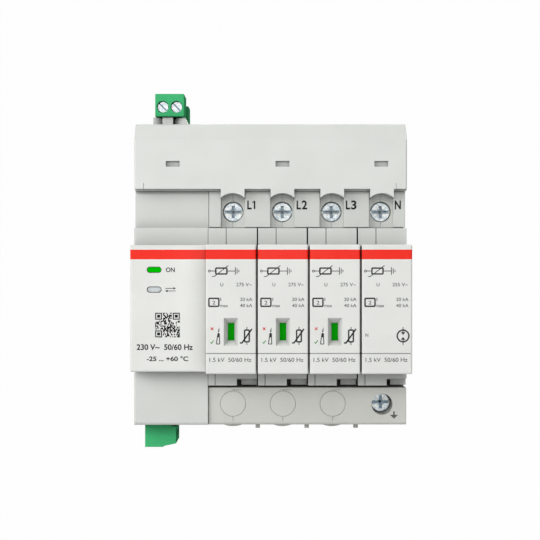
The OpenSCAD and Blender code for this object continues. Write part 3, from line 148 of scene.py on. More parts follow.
def moulded_plastic(name, colour, roughness=0.45, shine=0.2, corner_share=0.55, gap_share=0,
                    paint=None):
    """Injection-moulded plastic, whose colour and gloss vary a little with the melt's flow.

    Its corners and gaps darken with painted shade, and what the paint adds lies on the plastic and
    takes that painted shade with it.
    """
    material, tree, shader = new_finish(name, colour, roughness, shine)
    broken_edges(tree, shader, radius=0.25 * MM, grain_size=0.35 * MM, depth=0.004 * MM)
    flow = grain(tree, 14 * MM, detail=2)
    lay_over(tree, shader, spread(tree, flow, 0.38, 0.62), darker(colour, 0.975))
    if paint:
        paint(tree, shader)
    # Painted shade in corners and gaps, over the plastic and its paint.
    paint_shade_in_recesses(tree, shader, PLASTIC_REACH, corner_share, gap_share)
    gloss = spread(tree, flow, 0.35, 0.65, roughness - 0.04, roughness + 0.05)
    tree.links.new(gloss, shader.inputs["Roughness"])
    return material


def dress(names, material):
    """Gives CAD pieces their finish."""
    for name in names:
        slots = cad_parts[name].data.materials
        slots.clear()
        slots.append(material)


HOUSING_GREY = srgb(214, 216, 212)
# The housings darken nearly to black with painted shade in their seams and other deep gaps.
dress([f"pole_base_{pole}" for pole in POLES],
      moulded_plastic("pole_plastic", HOUSING_GREY, gap_share=0.9))


# Contacts behind the bays
# Bent copper strips lead from each terminal to the spring jaws that take the cartridge
# blades, and one bar joins the neutral side of all four cartridges.
def worked_metal(name, colour, tarnish, roughness):
    """Pressed or plated metal with patches of a thin tarnish and faint marks of its making."""
    material, tree, shader = new_finish(name, colour, roughness)
    shader.inputs["Metallic"].default_value = 1
    broken_edges(tree, shader, radius=0.1 * MM, grain_size=0.5 * MM, depth=0.004 * MM)
    lay_over(tree, shader, spread(tree, grain(tree, 3 * MM), 0.4, 0.7), tarnish)
    return material


copper = worked_metal("copper", srgb(214, 150, 108), srgb(186, 118, 84), roughness=0.32)
dress(["line_contacts", "neutral_bar", "earth_contact"], copper)


# Terminal screws and cages
# Zinc-plated steel screws, with a slot and a cross in their turned heads, draw a steel cage
# forward over the wire. Their rims carry a painted bluish reflection, their recesses painted
# shade.
ZINC = srgb(206, 209, 209)
ZINC_BLUE = srgb(138, 156, 166)
ZINC_TAN = srgb(178, 164, 140)
RECESS_SHADE_BLUE = srgb(112, 132, 145)
RECESS_SHADE_BLACK = srgb(20, 23, 26)
# Depths behind the face, and reaches from the middle in widths of the head, between which the
# painted shade of the recess and the painted reflection of the rim come in or go out.
RECESS_DEPTHS, BOTTOM_DEPTHS = (0.3 * MM, 0.8 * MM), (1 * MM, 1.3 * MM)
RIM_REACHES, SLOT_REACHES, CROSS_REACHES = (0.38, 0.42), (0.42, 0.45), (0.05, 0.1)
SMEAR_HALF = 0.4 * MM
WAVE_SCALE = 20  # a wave texture of scale 1 has this many rings in tau units


def box_middle(name):
    """The middle of a CAD piece's box."""
    low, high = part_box(name)
    return (low + high) / 2


def place_parts(tree):
    """The place on the device, as three values in metres."""
    place = tree.nodes.new("ShaderNodeTexCoord")
    parts = tree.nodes.new("ShaderNodeSeparateXYZ")
    tree.links.new(place.outputs["Object"], parts.inputs["Vector"])
    return parts.outputs


def across_head(tree):
    """The place across a head that faces forward, from its middle and in widths of it."""
    place = tree.nodes.new("ShaderNodeTexCoord")
    middle = tree.nodes.new("ShaderNodeVectorMath")
    middle.operation = "SUBTRACT"
    middle.inputs[1].default_value = (0.5, 0.5, 0.5)
    flat = tree.nodes.new("ShaderNodeVectorMath")
    flat.operation = "MULTIPLY"
    flat.inputs[1].default_value = (1, 0, 1)
    tree.links.new(place.outputs["Generated"], middle.inputs[0])
    tree.links.new(middle.outputs["Vector"], flat.inputs[0])
    return flat.outputs["Vector"]


def from_middle(tree):
    """The distance from the middle of a head, which is one half at its rim."""
    distance = tree.nodes.new("ShaderNodeVectorMath")
    distance.operation = "LENGTH"
    tree.links.new(across_head(tree), distance.inputs[0])
    return distance.outputs["Value"]


def combine(tree, operation, first, second, third=0):
    """One arithmetic step on a value that comes in, with values or plain numbers."""
    node = tree.nodes.new("ShaderNodeMath")
    node.operation = operation
    for socket, value in zip(node.inputs, (first, second, third)):
        if isinstance(value, (int, float)):
            socket.default_value = value
        else:
            tree.links.new(value, socket)
    return node.outputs["Value"]


def turned_rings(tree, shader, pitch, depth):
    """Fine rings left by the turning tool, with a pitch in widths of the head."""
    rings = tree.nodes.new("ShaderNodeTexWave")
    rings.wave_type = "RINGS"
    rings.rings_direction = "Y"
    rings.inputs["Scale"].default_value = math.tau / WAVE_SCALE / pitch
    rings.inputs["Distortion"].default_value = 1
    bump = tree.nodes.new("ShaderNodeBump")
    bump.inputs["Distance"].default_value = depth
    tree.links.new(across_head(tree), rings.inputs["Vector"])
    tree.links.new(rings.outputs["Fac"], bump.inputs["Height"])
    tree.links.new(shader.inputs["Normal"].links[0].from_socket, bump.inputs["Normal"])
    tree.links.new(bump.outputs["Normal"], shader.inputs["Normal"])


def plated_screw(name, head_y, metallic, smear_z=None):
    """Mottled zinc, a painted bluish reflection on the rim, painted shade in the recess, black in
    the middle.

    A tan smear may cross the head, at that height above and below the rail's centre line.
    """
    material, tree, shader = new_finish(name, ZINC, roughness=0.34)
    shader.inputs["Metallic"].default_value = metallic
    broken_edges(tree, shader, radius=0.1 * MM, grain_size=0.7 * MM, depth=0.012 * MM)
    turned_rings(tree, shader, pitch=0.07, depth=0.006 * MM)
    parts = place_parts(tree)
    mottle = grain(tree, 0.8 * MM)
    lay_over(tree, shader, spread(tree, mottle, 0.44, 0.6, high=0.7), ZINC_BLUE)
    if smear_z is not None:
        beside_slot = combine(tree, "COMPARE", combine(tree, "ABSOLUTE", parts["Z"], 0),
                              smear_z, SMEAR_HALF)
        lay_over(tree, shader, combine(tree, "MULTIPLY", beside_slot,
                                       spread(tree, mottle, 0.36, 0.5)), ZINC_TAN)
    reach = from_middle(tree)
    # Painted reflection: a bluish tint in patches on the rim of the head.
    rim = combine(tree, "MULTIPLY", spread(tree, reach, *RIM_REACHES),
                  spread(tree, grain(tree, 2.5 * MM), 0.46, 0.56, high=0.3))
    lay_over(tree, shader, rim, ZINC_BLUE)
    # Painted shade: the slot and cross turn darker and bluer below the face, and black deep in the
    # middle.
    recess = combine(tree, "MULTIPLY",
                     spread(tree, parts["Y"], *(head_y + depth for depth in RECESS_DEPTHS)),
                     spread(tree, reach, *SLOT_REACHES, low=1, high=0))
    lay_over(tree, shader, recess, RECESS_SHADE_BLUE)
    bottom = combine(tree, "MULTIPLY",
                     spread(tree, parts["Y"], *(head_y + depth for depth in BOTTOM_DEPTHS)),
                     spread(tree, reach, *CROSS_REACHES, low=1, high=0.15))
    lay_over(tree, shader, bottom, RECESS_SHADE_BLACK)
    return material


zinc = worked_metal("zinc", ZINC, ZINC_BLUE, roughness=0.4)
smear_z = box_middle("terminal_screw_l1").z - SMEAR_HALF
dress([f"terminal_screw_{pole}" for pole in POLES],
      plated_screw("zinc_screw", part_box("terminal_screw_l1")[0].y, 0.25, smear_z))
# The earth screw takes a more metallic copy of the finish, which mirrors more of the pale room:
# painted light, brighter than its deep well lets it be.
dress(["terminal_screw_pe"],
      plated_screw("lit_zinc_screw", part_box("terminal_screw_pe")[0].y, 0.75, smear_z))
dress([f"terminal_cage_{pole}" for pole in POLES + ["pe"]], zinc)


# Upper terminal cover
# One moulding runs over the four terminals, with a channel and a well for each screw and a
# raised block beside it. The blocks carry the terminal marks in black pad print.
FILM = 0.04 * MM
PROUD_SHARE = 0.75  # how much of the film stands in front of the plastic


def flat_prism(shape, outline, origin, front):
    """A closed flat piece of ink from an outline in millimetres, across and up from there."""
    corners = [(origin[0] + across * MM, origin[1] + up * MM) for across, up in outline]
    near = [shape.verts.new((u, front, v)) for u, v in corners]
    far = [shape.verts.new((u, front + FILM, v)) for u, v in corners]
    shape.faces.new(near)
    shape.faces.new(far[::-1])
    for i, corner in enumerate(near):
        j = (i + 1) % len(near)
        shape.faces.new((corner, far[i], far[j], near[j]))


def letter_mesh(text, weight):
    """Plain lettering about one unit high, bolder than drawn by that weight."""
    curve = bpy.data.curves.new("letters", "FONT")
    curve.body = text
    curve.extrude = 0.5
    curve.offset = weight
    holder = bpy.data.objects.new("letters", curve)
    mesh = bpy.data.meshes.new_from_object(holder)
    bpy.data.objects.remove(holder)
    bpy.data.curves.remove(curve)
    return mesh


CAPITAL = max(corner.co.y for corner in letter_mesh("H", 0).vertices)


def add_words(shape, words, origin, front, weight):
    """Adds words, each a text, left end, baseline, height of capitals and length.

    The places and lengths are in millimetres, and the places count from the origin.
    """
    for text, start, base, height, length in words:
        mesh = letter_mesh(text, weight)
        left = min(corner.co.x for corner in mesh.vertices)
        right = max(corner.co.x for corner in mesh.vertices)
        for corner in mesh.vertices:
            across, up, back = corner.co
            corner.co = (origin[0] + (start + (across - left) / (right - left) * length) * MM,
                         front + (0.5 - back) * FILM,
                         origin[1] + (base + up / CAPITAL * height) * MM)
        shape.from_mesh(mesh)
        bpy.data.meshes.remove(mesh)


def lay_print(name, surface_y, body, ink, outlines=(), words=(), origin=(0, 0), weight=0.02):
    """Prints outlines and words on a face that looks forward, as one thin piece."""
    shape = bmesh.new()
    front = surface_y - PROUD_SHARE * FILM
    for outline in outlines:
        flat_prism(shape, outline, origin, front)
    add_words(shape, words, origin, front, weight)
    bmesh.ops.recalc_face_normals(shape, faces=shape.faces)
    mesh = bpy.data.meshes.new(name)
    shape.to_mesh(mesh)
    shape.free()
    mesh.materials.append(ink)
    piece = bpy.data.objects.new(name, mesh)
    bpy.context.scene.collection.objects.link(piece)
    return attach(piece, body)


def print_ink(name, colour):
    """Pad print: a thin skin of ink, a little uneven in its colour."""
    material, tree, shader = new_finish(name, colour, roughness=0.5, shine=0.15)
    thin = tuple(min(1, 1.5 * part + 0.01) for part in colour[:3]) + (1,)
    lay_over(tree, shader, spread(tree, grain(tree, 0.6 * MM), 0.5, 0.8), thin)
    return material


# The comb takes only a little painted shade in its corners.
dress(["terminal_comb"], moulded_plastic("comb_plastic", HOUSING_GREY, corner_share=0.15))
black_ink = print_ink("black_ink", srgb(10, 10, 10))
MARK_PAST_SCREW = {"l1": 5.15, "l2": 5.1, "l3": 5.05, "n": 4.9}
MARK_UP, MARK_TALL = 0.9, 2.95
L_WIDE, N_WIDE = 1.6, 2.2
FIGURE_IN, FIGURE_WIDE = 1.9, 1.95
mark_low = box_middle("terminal_screw_l1").z / MM + MARK_UP
mark_start = {pole: box_middle(f"terminal_screw_{pole}").x / MM + MARK_PAST_SCREW[pole]
              for pole in POLES}
mark_words = [(pole[0].upper(), mark_start[pole], mark_low, MARK_TALL,
               N_WIDE if pole == "n" else L_WIDE) for pole in POLES]
mark_words += [(pole[1], mark_start[pole] + FIGURE_IN, mark_low, MARK_TALL, FIGURE_WIDE)
               for pole in ("l2", "l3")]
# The figure 1 is drawn with a flag, because that of the lettering is a bare stroke.
ONE_IN, ONE_STEM, ONE_FLAG = 2.36, 0.55, 0.5
FLAG_TOP_DROP, FLAG_TIP_DROP, FLAG_ROOT_DROP = 0.34, 0.8, 0.5
one_left, one_top = mark_start["l1"] + ONE_IN, mark_low + MARK_TALL
figure_one = [[(one_left, mark_low), (one_left + ONE_STEM, mark_low),
               (one_left + ONE_STEM, one_top), (one_left, one_top),
               (one_left - ONE_FLAG, one_top - FLAG_TOP_DROP),
               (one_left - ONE_FLAG, one_top - FLAG_TIP_DROP),
               (one_left, one_top - FLAG_ROOT_DROP)]]
lay_print("terminal_marks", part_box("terminal_comb")[0].y, "housing", black_ink, figure_one,
          mark_words, weight=0.03)


# Lower terminal cover
# A shallow moulded cover closes the unused lower terminals with scored knock-outs. At its
# right a well leads to the earth screw, beside the printed earth sign.
def stroke(start, end, width):
    """Outline of a straight line of ink."""
    start, end = Vector(start), Vector(end)
    side = (end - start).normalized().orthogonal() * width / 2
    return [start + side, end + side, end - side, start - side]


# The lower cover takes a lighter painted shade in its corners.
dress(["lower_cover"],
      moulded_plastic("lower_cover_plastic", srgb(207, 208, 202), corner_share=0.35))
SIGN_PAST_SCREW, SIGN_DROP = 4.25, 2.6
STEM_LENGTH, STEM_WIDE = 1.4, 0.42
BAR_HALVES, BAR_STEP, BAR_WIDE = (1.25, 0.8, 0.35), 0.45, 0.32
earth_sign = [stroke((0, 0), (0, -STEM_LENGTH), STEM_WIDE)]
for step, half in enumerate(BAR_HALVES):
    bar_z = -STEM_LENGTH - step * BAR_STEP
    earth_sign.append(stroke((-half, bar_z), (half, bar_z), BAR_WIDE))
earth_screw = box_middle("terminal_screw_pe")
lay_print("earth_mark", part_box("lower_cover")[0].y, "housing", black_ink, earth_sign,
          origin=(earth_screw.x + SIGN_PAST_SCREW * MM, earth_screw.z - SIGN_DROP * MM))


# Rail latches
# Two sprung slides of stiffer acetal hold the lower edge of the rail, and a screwdriver in
# the eye of their tab pulls them down.
dress(["rail_latch_left", "rail_latch_right"],
      moulded_plastic("latch_plastic", srgb(205, 207, 204), roughness=0.35))


# Monitor section
# A tub of the same grey polyamide stands at the left of the poles. It holds a glass-fibre
# board with the supply, a relay, a processor and two lamps.
COPPER_LINE_SCALE = 180  # lines about 1.7 mm apart


def glass_fibre_board(name):
    """Green solder mask with the faint weave and copper lines under it."""
    material, tree, shader = new_finish(name, srgb(20, 84, 48), roughness=0.3)
    place = tree.nodes.new("ShaderNodeTexCoord")
    lines = tree.nodes.new("ShaderNodeTexWave")
    lines.inputs["Scale"].default_value = COPPER_LINE_SCALE
    lines.inputs["Distortion"].default_value = 6
    tree.links.new(place.outputs["Object"], lines.inputs["Vector"])
    lay_over(tree, shader, lines.outputs["Fac"], srgb(38, 112, 66))
    return material


dress(["monitor_base"], moulded_plastic("monitor_plastic", HOUSING_GREY))
board_finish = glass_fibre_board("circuit_board")
component_black = moulded_plastic("component_black", srgb(38, 38, 40), roughness=0.4)
dress(["circuit_board"], board_finish)
dress(["board_components"], component_black)


# Monitor front
# The front shell of the monitor is moulded in a paler grey and snaps in between the shoulders.
# A printed red field crosses it near its top, in line with those of the cartridges.
RED = srgb(241, 34, 12)
PALE_GREY = srgb(228, 229, 225)
FIELD_DEPTH = 0.5 * MM  # how far the field runs back over the rounded edges


def front_plastic(name, shell, field_drop, field_tall):
    """Plastic of a front shell, with a red field that far below its upper edge."""
    low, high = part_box(shell)
    field_z = high.z - field_drop - field_tall / 2

    def red_field(tree, shader):
        parts = place_parts(tree)
        across_band = combine(tree, "COMPARE", parts["Z"], field_z, field_tall / 2)
        in_front = combine(tree, "LESS_THAN", parts["Y"], low.y + FIELD_DEPTH)
        lay_over(tree, shader, combine(tree, "MULTIPLY", across_band, in_front), RED)

    # The gaps beside the fronts darken nearly to black with painted shade, across the red field
    # too.
    return moulded_plastic(name, PALE_GREY, roughness=0.4, gap_share=0.9, paint=red_field)


dress(["monitor_front"],
      front_plastic("monitor_front_plastic", "monitor_front", field_drop=1.64 * MM,
                    field_tall=3.38 * MM))


# Print on the monitor front
# Pad print in grey and black: a word and a pair of arrows beside the lamps, and below them a
# field of squares in no readable code, the supply voltage and the range of temperature.
grey_ink = print_ink("grey_ink", srgb(52, 53, 52))


def rectangle(left, low, right, top):
    """Outline of an upright field."""
    return [(left, low), (right, low), (right, top), (left, top)]


monitor_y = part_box("monitor_front")[0].y
guide_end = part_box("data_light_guide")[1].x / MM
power_z = box_middle("power_light_guide").z / MM
data_z = box_middle("data_light_guide").z / MM
ARROW_PAST_GUIDE, ARROW_REACH, ARROW_TAIL, ARROW_APART = 2.55, 1.9, 1.8, 0.9
SHAFT_WIDE, SHAFT_SHORT = 0.22, 0.8
BARB_LONG, BARB_HALF = 0.9, 0.42
arrow_x = guide_end + ARROW_PAST_GUIDE
arrow_sign = []
for side in (1, -1):
    shaft_z = data_z + side * ARROW_APART / 2
    tip, tail = arrow_x + side * ARROW_REACH, arrow_x - side * ARROW_TAIL
    barb = tip - side * BARB_LONG
    arrow_sign.append(stroke((tail, shaft_z), (tip - side * SHAFT_SHORT, shaft_z), SHAFT_WIDE))
    arrow_sign.append([(tip, shaft_z), (barb, shaft_z + BARB_HALF), (barb, shaft_z - BARB_HALF)])

# The code and the words below it are placed from the lower left corner of the front.
CODE_LEFT, CODE_LOW, CODE_SIZE, CODE_CELLS = 8.8, 12.1, 8.6, 25
CORNER_CELLS = 7
cell = CODE_SIZE / CODE_CELLS


def corner_square(column, row):
    """True or False in the framed squares of three corners, and None elsewhere."""
    for first_column, first_row in ((0, 0), (0, CODE_CELLS - CORNER_CELLS),
                                    (CODE_CELLS - CORNER_CELLS, CODE_CELLS - CORNER_CELLS)):
        u, v = column - first_column, row - first_row
        if -1 <= u <= CORNER_CELLS and -1 <= v <= CORNER_CELLS:
            ring = max(abs(u - CORNER_CELLS // 2), abs(v - CORNER_CELLS // 2))
            return ring in (0, 1, 3)
    return None


random.seed(35)
DARK_SHARE = 0.5
squares = []
for row in range(CODE_CELLS):
    start = None
    for column in range(CODE_CELLS + 1):
        dark = column < CODE_CELLS and random.random() < DARK_SHARE
        framed = corner_square(column, row)
        if framed is not None and column < CODE_CELLS:
            dark = framed
        if dark and start is None:
            start = column
        elif not dark and start is not None:
            left, low = CODE_LEFT + start * cell, CODE_LOW + row * cell
            squares.append(rectangle(left, low, left + (column - start) * cell, low + cell))
            start = None
ON_PAST_GUIDE, ON_TALL, ON_WIDE = 0.95, 1.5, 3.1
lay_print("monitor_signs", monitor_y, "housing", grey_ink, arrow_sign,
          words=[("ON", guide_end + ON_PAST_GUIDE, power_z - ON_TALL / 2, ON_TALL, ON_WIDE)])
lay_print("monitor_squares", monitor_y, "housing", black_ink, squares,
          words=[("230 V~  50/60 Hz", 2.35, 7.75, 1.85, 19.6),
                 ("-25 ... +60 °C", 5.85, 3.85, 1.5, 14.5)],
          origin=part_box("monitor_front")[0].xz)


# Light guides
# Clear acrylic rods carry the light of the two lamps to the front. The upper one glows
# green, and the lower one is dark and shows as pale grey.
WHITE = (1, 1, 1, 1)
GLOW_DEPTH = 0.15 * MM
GUIDE_REACH = 2 * MM


def light_guide(name, front_y, colour, glow_colour, glow, shine):
    """Clear plastic, clouded a little by scattered light, whose front end may glow."""
    material, tree, shader = new_finish(name, colour, roughness=0.3, shine=shine)
    front_end = combine(tree, "LESS_THAN", place_parts(tree)["Y"], front_y + GLOW_DEPTH)
    shader.inputs["Emission Color"].default_value = glow_colour
    tree.links.new(combine(tree, "MULTIPLY", front_end, glow),
                   shader.inputs["Emission Strength"])
    broken_edges(tree, shader, radius=0.25 * MM, grain_size=0.8 * MM, depth=0.002 * MM)
    lay_over(tree, shader, spread(tree, grain(tree, 2 * MM), 0.4, 0.6), darker(colour, 0.85))
    # Painted shade in its corners, nearly black in the narrow gap round it.
    paint_shade_in_recesses(tree, shader, GUIDE_REACH, corner_share=0.2, gap_share=0.95)
    return material


guide_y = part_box("power_light_guide")[0].y
dress(["power_light_guide"],
      light_guide("power_light", guide_y, srgb(0, 50, 0), srgb(0, 182, 0), glow=1, shine=0))
dress(["data_light_guide"],
      light_guide("data_light", guide_y, srgb(204, 209, 212), WHITE, glow=0, shine=0.15))


# Hood
# Two pale mouldings snap together over the top of the device. The base carries four square
# tubes that lead the wires down to the terminals, each through the ring of a current sensor.
dress(["hood_base", "hood_cover"], moulded_plastic("hood_plastic", srgb(220, 222, 218)))
dress(["sensor_board"], board_finish)
dress(["current_sensors"], component_black)


# Connectors
# Pluggable screw connectors of green polyamide feed the monitor from above and carry its
# data below. Their fixed halves hold square tinned pins.
CONNECTOR_GREEN = srgb(72, 184, 120)
TIN = srgb(205, 207, 210)


def connector_green(name, pin_boxes=()):
    """Green plastic, with tinned metal inside the boxes where the pins stand.

    Each box is given by its middle and its three lengths.
    """
    # The green takes strong painted shade in its corners.
    material = moulded_plastic(name, CONNECTOR_GREEN, shine=0, corner_share=0.7)
    tree = material.node_tree
    shader = tree.nodes["Principled BSDF"]
    parts = place_parts(tree)
    pins = None
    for middle, size in pin_boxes:
        inside = None
        for axis, centre, length in zip("XYZ", middle, size):
            within = combine(tree, "COMPARE", parts[axis], centre, length / 2)
            inside = combine(tree, "MULTIPLY", inside, within) if inside else within
        pins = combine(tree, "MAXIMUM", pins, inside) if pins else inside
    if pins:
        lay_over(tree, shader, pins, TIN)
        tree.links.new(pins, shader.inputs["Metallic"])
    return material


PIN_ROOM = 1.3 * MM
SUPPLY_PIN_LONG, SUPPLY_PIN_IN, SUPPLY_PIN_UP = 8.2 * MM, 5 * MM, 2.25 * MM
DATA_WAYS, DATA_PIN_LONG, DATA_PIN_DOWN = 4, 6.2 * MM, 3 * MM
supply_pitch = box_middle("supply_plug_screw_2").x - box_middle("supply_plug_screw_1").x
supply_pin_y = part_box("supply_header")[0].y + SUPPLY_PIN_IN
supply_pin_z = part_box("supply_plug")[0].z + SUPPLY_PIN_UP
supply_pins = [((box_middle("supply_plug").x + side * supply_pitch / 2, supply_pin_y,
                 supply_pin_z), (PIN_ROOM, SUPPLY_PIN_LONG, PIN_ROOM)) for side in (-1, 1)]
data_low, data_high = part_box("data_plug")
data_pitch = (data_high.y - data_low.y) / DATA_WAYS
data_pins = [((box_middle("data_plug").x, data_low.y + (way + 0.5) * data_pitch,
               data_high.z - DATA_PIN_DOWN), (PIN_ROOM, PIN_ROOM, DATA_PIN_LONG))
             for way in range(DATA_WAYS)]
dress(["supply_header"], connector_green("supply_header_green", supply_pins))
dress(["data_header"], connector_green("data_header_green", data_pins))
dress(["supply_plug", "data_plug"], connector_green("plug_green"))
dress(["supply_plug_screw_1", "supply_plug_screw_2"],
      plated_screw("small_zinc_screw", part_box("supply_plug_screw_1")[0].y, metallic=0.25))
dress(["supply_plug_clamp_1", "supply_plug_clamp_2", "data_plug_screws", "data_plug_clamps"],
      zinc)


# Cartridges
# Each plug-in cartridge has a two-part shell round a metal-oxide varistor, or round a gas
# discharge tube in the neutral pole. Copper blades come out of its rear plate.
dress([f"cartridge_shell_{pole}" for pole in POLES],
      front_plastic("cartridge_plastic", "cartridge_shell_l1", field_drop=1.76 * MM,
                    field_tall=3.32 * MM))
dress([f"cartridge_base_{pole}" for pole in POLES],
      moulded_plastic("closing_plastic", srgb(176, 178, 175)))
dress([f"cartridge_blades_{pole}" for pole in POLES], copper)
dress([f"varistor_{line}" for line in LINES],
      moulded_plastic("varistor_lacquer", srgb(52, 78, 140), roughness=0.3))
dress(["gas_tube"], moulded_plastic("ceramic", srgb(226, 220, 210), roughness=0.25))


# Status flags
# A plastic slide stands behind the window of each line cartridge. Its upper part is green,
# and the lower part, which a tripped cartridge lifts into view, is red.
FLAG_RED, FLAG_GREEN = srgb(196, 26, 20), srgb(0, 160, 2)
RED_SHARE = 0.49
flag_low, flag_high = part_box("status_flag_l1")
flag_border = flag_low.z + RED_SHARE * (flag_high.z - flag_low.z)
flag_finish = moulded_plastic("status_flag", FLAG_RED, roughness=0.5, shine=0.03)
flag_tree = flag_finish.node_tree
lay_over(flag_tree, flag_tree.nodes["Principled BSDF"],
         combine(flag_tree, "GREATER_THAN", place_parts(flag_tree)["Z"], flag_border),
         FLAG_GREEN)
dress([f"status_flag_{line}" for line in LINES], flag_finish)


# Print on the cartridges
# Pad print in grey, green and red: a circuit diagram, the class number in a frame, ratings,
# a tester beside the window with its tick and cross, and the sign of what is inside.
FINE, BOLD = 0.24, 0.5
green_ink = print_ink("green_ink", srgb(20, 140, 40))
red_ink = print_ink("red_ink", srgb(214, 40, 30))


def closed_line(corners, width):
    """The lines of a printed outline."""
    return [stroke(corners[i - 1], corners[i], width) for i in range(len(corners))]


def round_line(x, z, radius, width, sides=28):
    """A printed ring."""
    turns = [math.tau * i / sides for i in range(sides)]
    return closed_line([(x + radius * math.cos(t), z + radius * math.sin(t)) for t in turns],
                       width)


def diagram():
    """A line from a terminal through a varistor to earth, drawn lying on its side."""
    z, terminal_x, earth_x = 13.1, -7.4, 1.5
    terminal_radius, wire_start = 0.35, 0.3
    box_left, box_right, box_half = -5.2, -1.4, 1
    slant_half, slant_before, slant_past = 1.9, 0.6, 0.5
    foot_left, foot_right = 1.3, 0.5
    bar_halves, bar_step = (1.3, 0.85, 0.4), 0.6
    foot_z, slant_top = z - slant_half, z + slant_half
    marks = closed_line(rectangle(box_left, z - box_half, box_right, z + box_half), BOLD)
    marks += round_line(terminal_x, z, terminal_radius, FINE, sides=12)
    marks += [stroke((terminal_x + wire_start, z), (box_left, z), FINE),
              stroke((box_right, z), (earth_x, z), FINE),
              stroke((box_left - slant_before, foot_z), (box_right + slant_past, slant_top), FINE),
              stroke((box_left - foot_left, foot_z), (box_left - foot_right, foot_z), FINE)]
    for step, half in enumerate(bar_halves):
        bar_x = earth_x + bar_step * step
        marks.append(stroke((bar_x, z - half), (bar_x, z + half), FINE))
    return marks


def inner_sign(gas):
    """A varistor's box with its slanted line, or the two electrodes in a gas tube."""
    x, z, half_tall, half_wide, lead_end = 5.45, -9.1, 2, 0.8, 3.1
    marks = [stroke((x, z + side * half_tall), (x, z + side * lead_end), FINE)
             for side in (1, -1)]
    if gas:
        tip_up, root_up = 0.35, 1.3
        marks += round_line(x, z, half_tall, BOLD)
        for side in (1, -1):
            tip, root = z + side * tip_up, z + side * root_up
            marks.append([(x, tip), (x - half_wide, root), (x + half_wide, root)])
            marks.append(stroke((x, root), (x, z + side * half_tall), FINE))
    else:
        slant_x, slant_z, foot_left, foot_right = 1.7, 2.4, 2.4, 1.55
        marks += closed_line(rectangle(x - half_wide, z - half_tall, x + half_wide,
                                       z + half_tall), BOLD)
        marks.append(stroke((x - slant_x, z - slant_z), (x + slant_x, z + slant_z), BOLD))
        marks.append(stroke((x - foot_left, z - slant_z), (x - foot_right, z - slant_z), BOLD))
    return marks


# All places on a front are counted from its middle.
TESTER_LINE, CHECK_LINE = 0.28, 0.26
GRIP_LOW, GRIP_MIDDLE, GRIP_TOP, BLADE_LOW, BLADE_TIP = -11.85, -9.6, -8.2, -7.7, -6.1
tester = closed_line([(-5.0, GRIP_LOW), (-4.45, GRIP_TOP), (-4.0, GRIP_TOP),
                      (-3.85, GRIP_LOW)], TESTER_LINE)
tester += [[(-4.75, GRIP_MIDDLE), (-4.5, GRIP_TOP), (-3.95, GRIP_TOP), (-3.95, GRIP_MIDDLE)],
           [(-4.5, BLADE_LOW), (-4.0, BLADE_LOW), (-3.95, BLADE_TIP)]]
TICK_LOW = -11.7
tick = [stroke((-7, TICK_LOW + 0.5), (-6.6, TICK_LOW), CHECK_LINE),
        stroke((-6.66, TICK_LOW), (-5.9, TICK_LOW + 1.1), CHECK_LINE)]
CROSS_X, CROSS_Z, CROSS_HALF = -6.45, -6.65, 0.45
cross = [stroke((CROSS_X - CROSS_HALF, CROSS_Z - side * CROSS_HALF),
                (CROSS_X + CROSS_HALF, CROSS_Z + side * CROSS_HALF), CHECK_LINE)
         for side in (1, -1)]
CLASS_LEFT, CLASS_LOW, CLASS_WIDE, CLASS_TALL = -7.55, 1.03, 3.4, 2.72
CLASS_FIGURE_UP, CLASS_FIGURE_TALL, CLASS_FIGURE_WIDE = 0.62, 1.25, 1
class_frame = closed_line(rectangle(CLASS_LEFT, CLASS_LOW, CLASS_LEFT + CLASS_WIDE,
                                    CLASS_LOW + CLASS_TALL), BOLD)
class_figure = ("2", CLASS_LEFT + (CLASS_WIDE - CLASS_FIGURE_WIDE) / 2,
                CLASS_LOW + CLASS_FIGURE_UP, CLASS_FIGURE_TALL, CLASS_FIGURE_WIDE)
RATING_LEFT, RATING_TALL = -3.6, 1.1
CURRENT_LEFT, CURRENT_LONG = 3.1, 4.2
VOLTAGE_LOW, VOLTAGE_TALL = 7.9, 1.15
CURRENT_LOW, PEAK_LOW = 2.85, 0.75
cartridge_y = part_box("cartridge_shell_l1")[0].y
for pole in POLES:
    front_middle = box_middle(f"cartridge_shell_{pole}").xz
    body = f"cartridge_{pole}"
    voltage = "255 V~" if pole == "n" else "275 V~"
    marks = diagram() + inner_sign(gas=pole == "n") + class_frame
    words = [class_figure,
             ("U", RATING_LEFT, VOLTAGE_LOW, VOLTAGE_TALL, 0.95),
             (voltage, 1.85, VOLTAGE_LOW, VOLTAGE_TALL, 5.25),
             ("I", RATING_LEFT, CURRENT_LOW, RATING_TALL, 0.22),
             ("20 kA", CURRENT_LEFT, CURRENT_LOW, RATING_TALL, CURRENT_LONG),
             ("max", RATING_LEFT, PEAK_LOW, RATING_TALL, 2.6),
             ("40 kA", CURRENT_LEFT, PEAK_LOW, RATING_TALL, CURRENT_LONG),
             ("1.5 kV  50/60 Hz", -7.35, -17.95, 1.37, 14.3)]
    if pole == "n":
        words.append(("N", -7.4, -9.4, RATING_TALL, 0.95))
    else:
        marks += tester
        lay_print(f"cartridge_tick_{pole}", cartridge_y, body, green_ink, tick,
                  origin=front_middle)
        lay_print(f"cartridge_cross_{pole}", cartridge_y, body, red_ink, cross,
                  origin=front_middle)
    lay_print(f"cartridge_marks_{pole}", cartridge_y, body, grey_ink, marks, words,
              front_middle, weight=0)


# Floor and backdrop
# The device hangs before a plain studio sweep of matt paper. Rays from the camera, and those
# that metal and glass pass on, see it nearly white, while it still takes the soft shadow.
def white_to_the_eye(tree):
    """1 for rays from the camera, in mirrors and through glass."""
    path = tree.nodes.new("ShaderNodeLightPath").outputs
    seen = combine(tree, "MAXIMUM", path["Is Camera Ray"], path["Is Glossy Ray"])
    return combine(tree, "MAXIMUM", seen, path["Is Transmission Ray"])


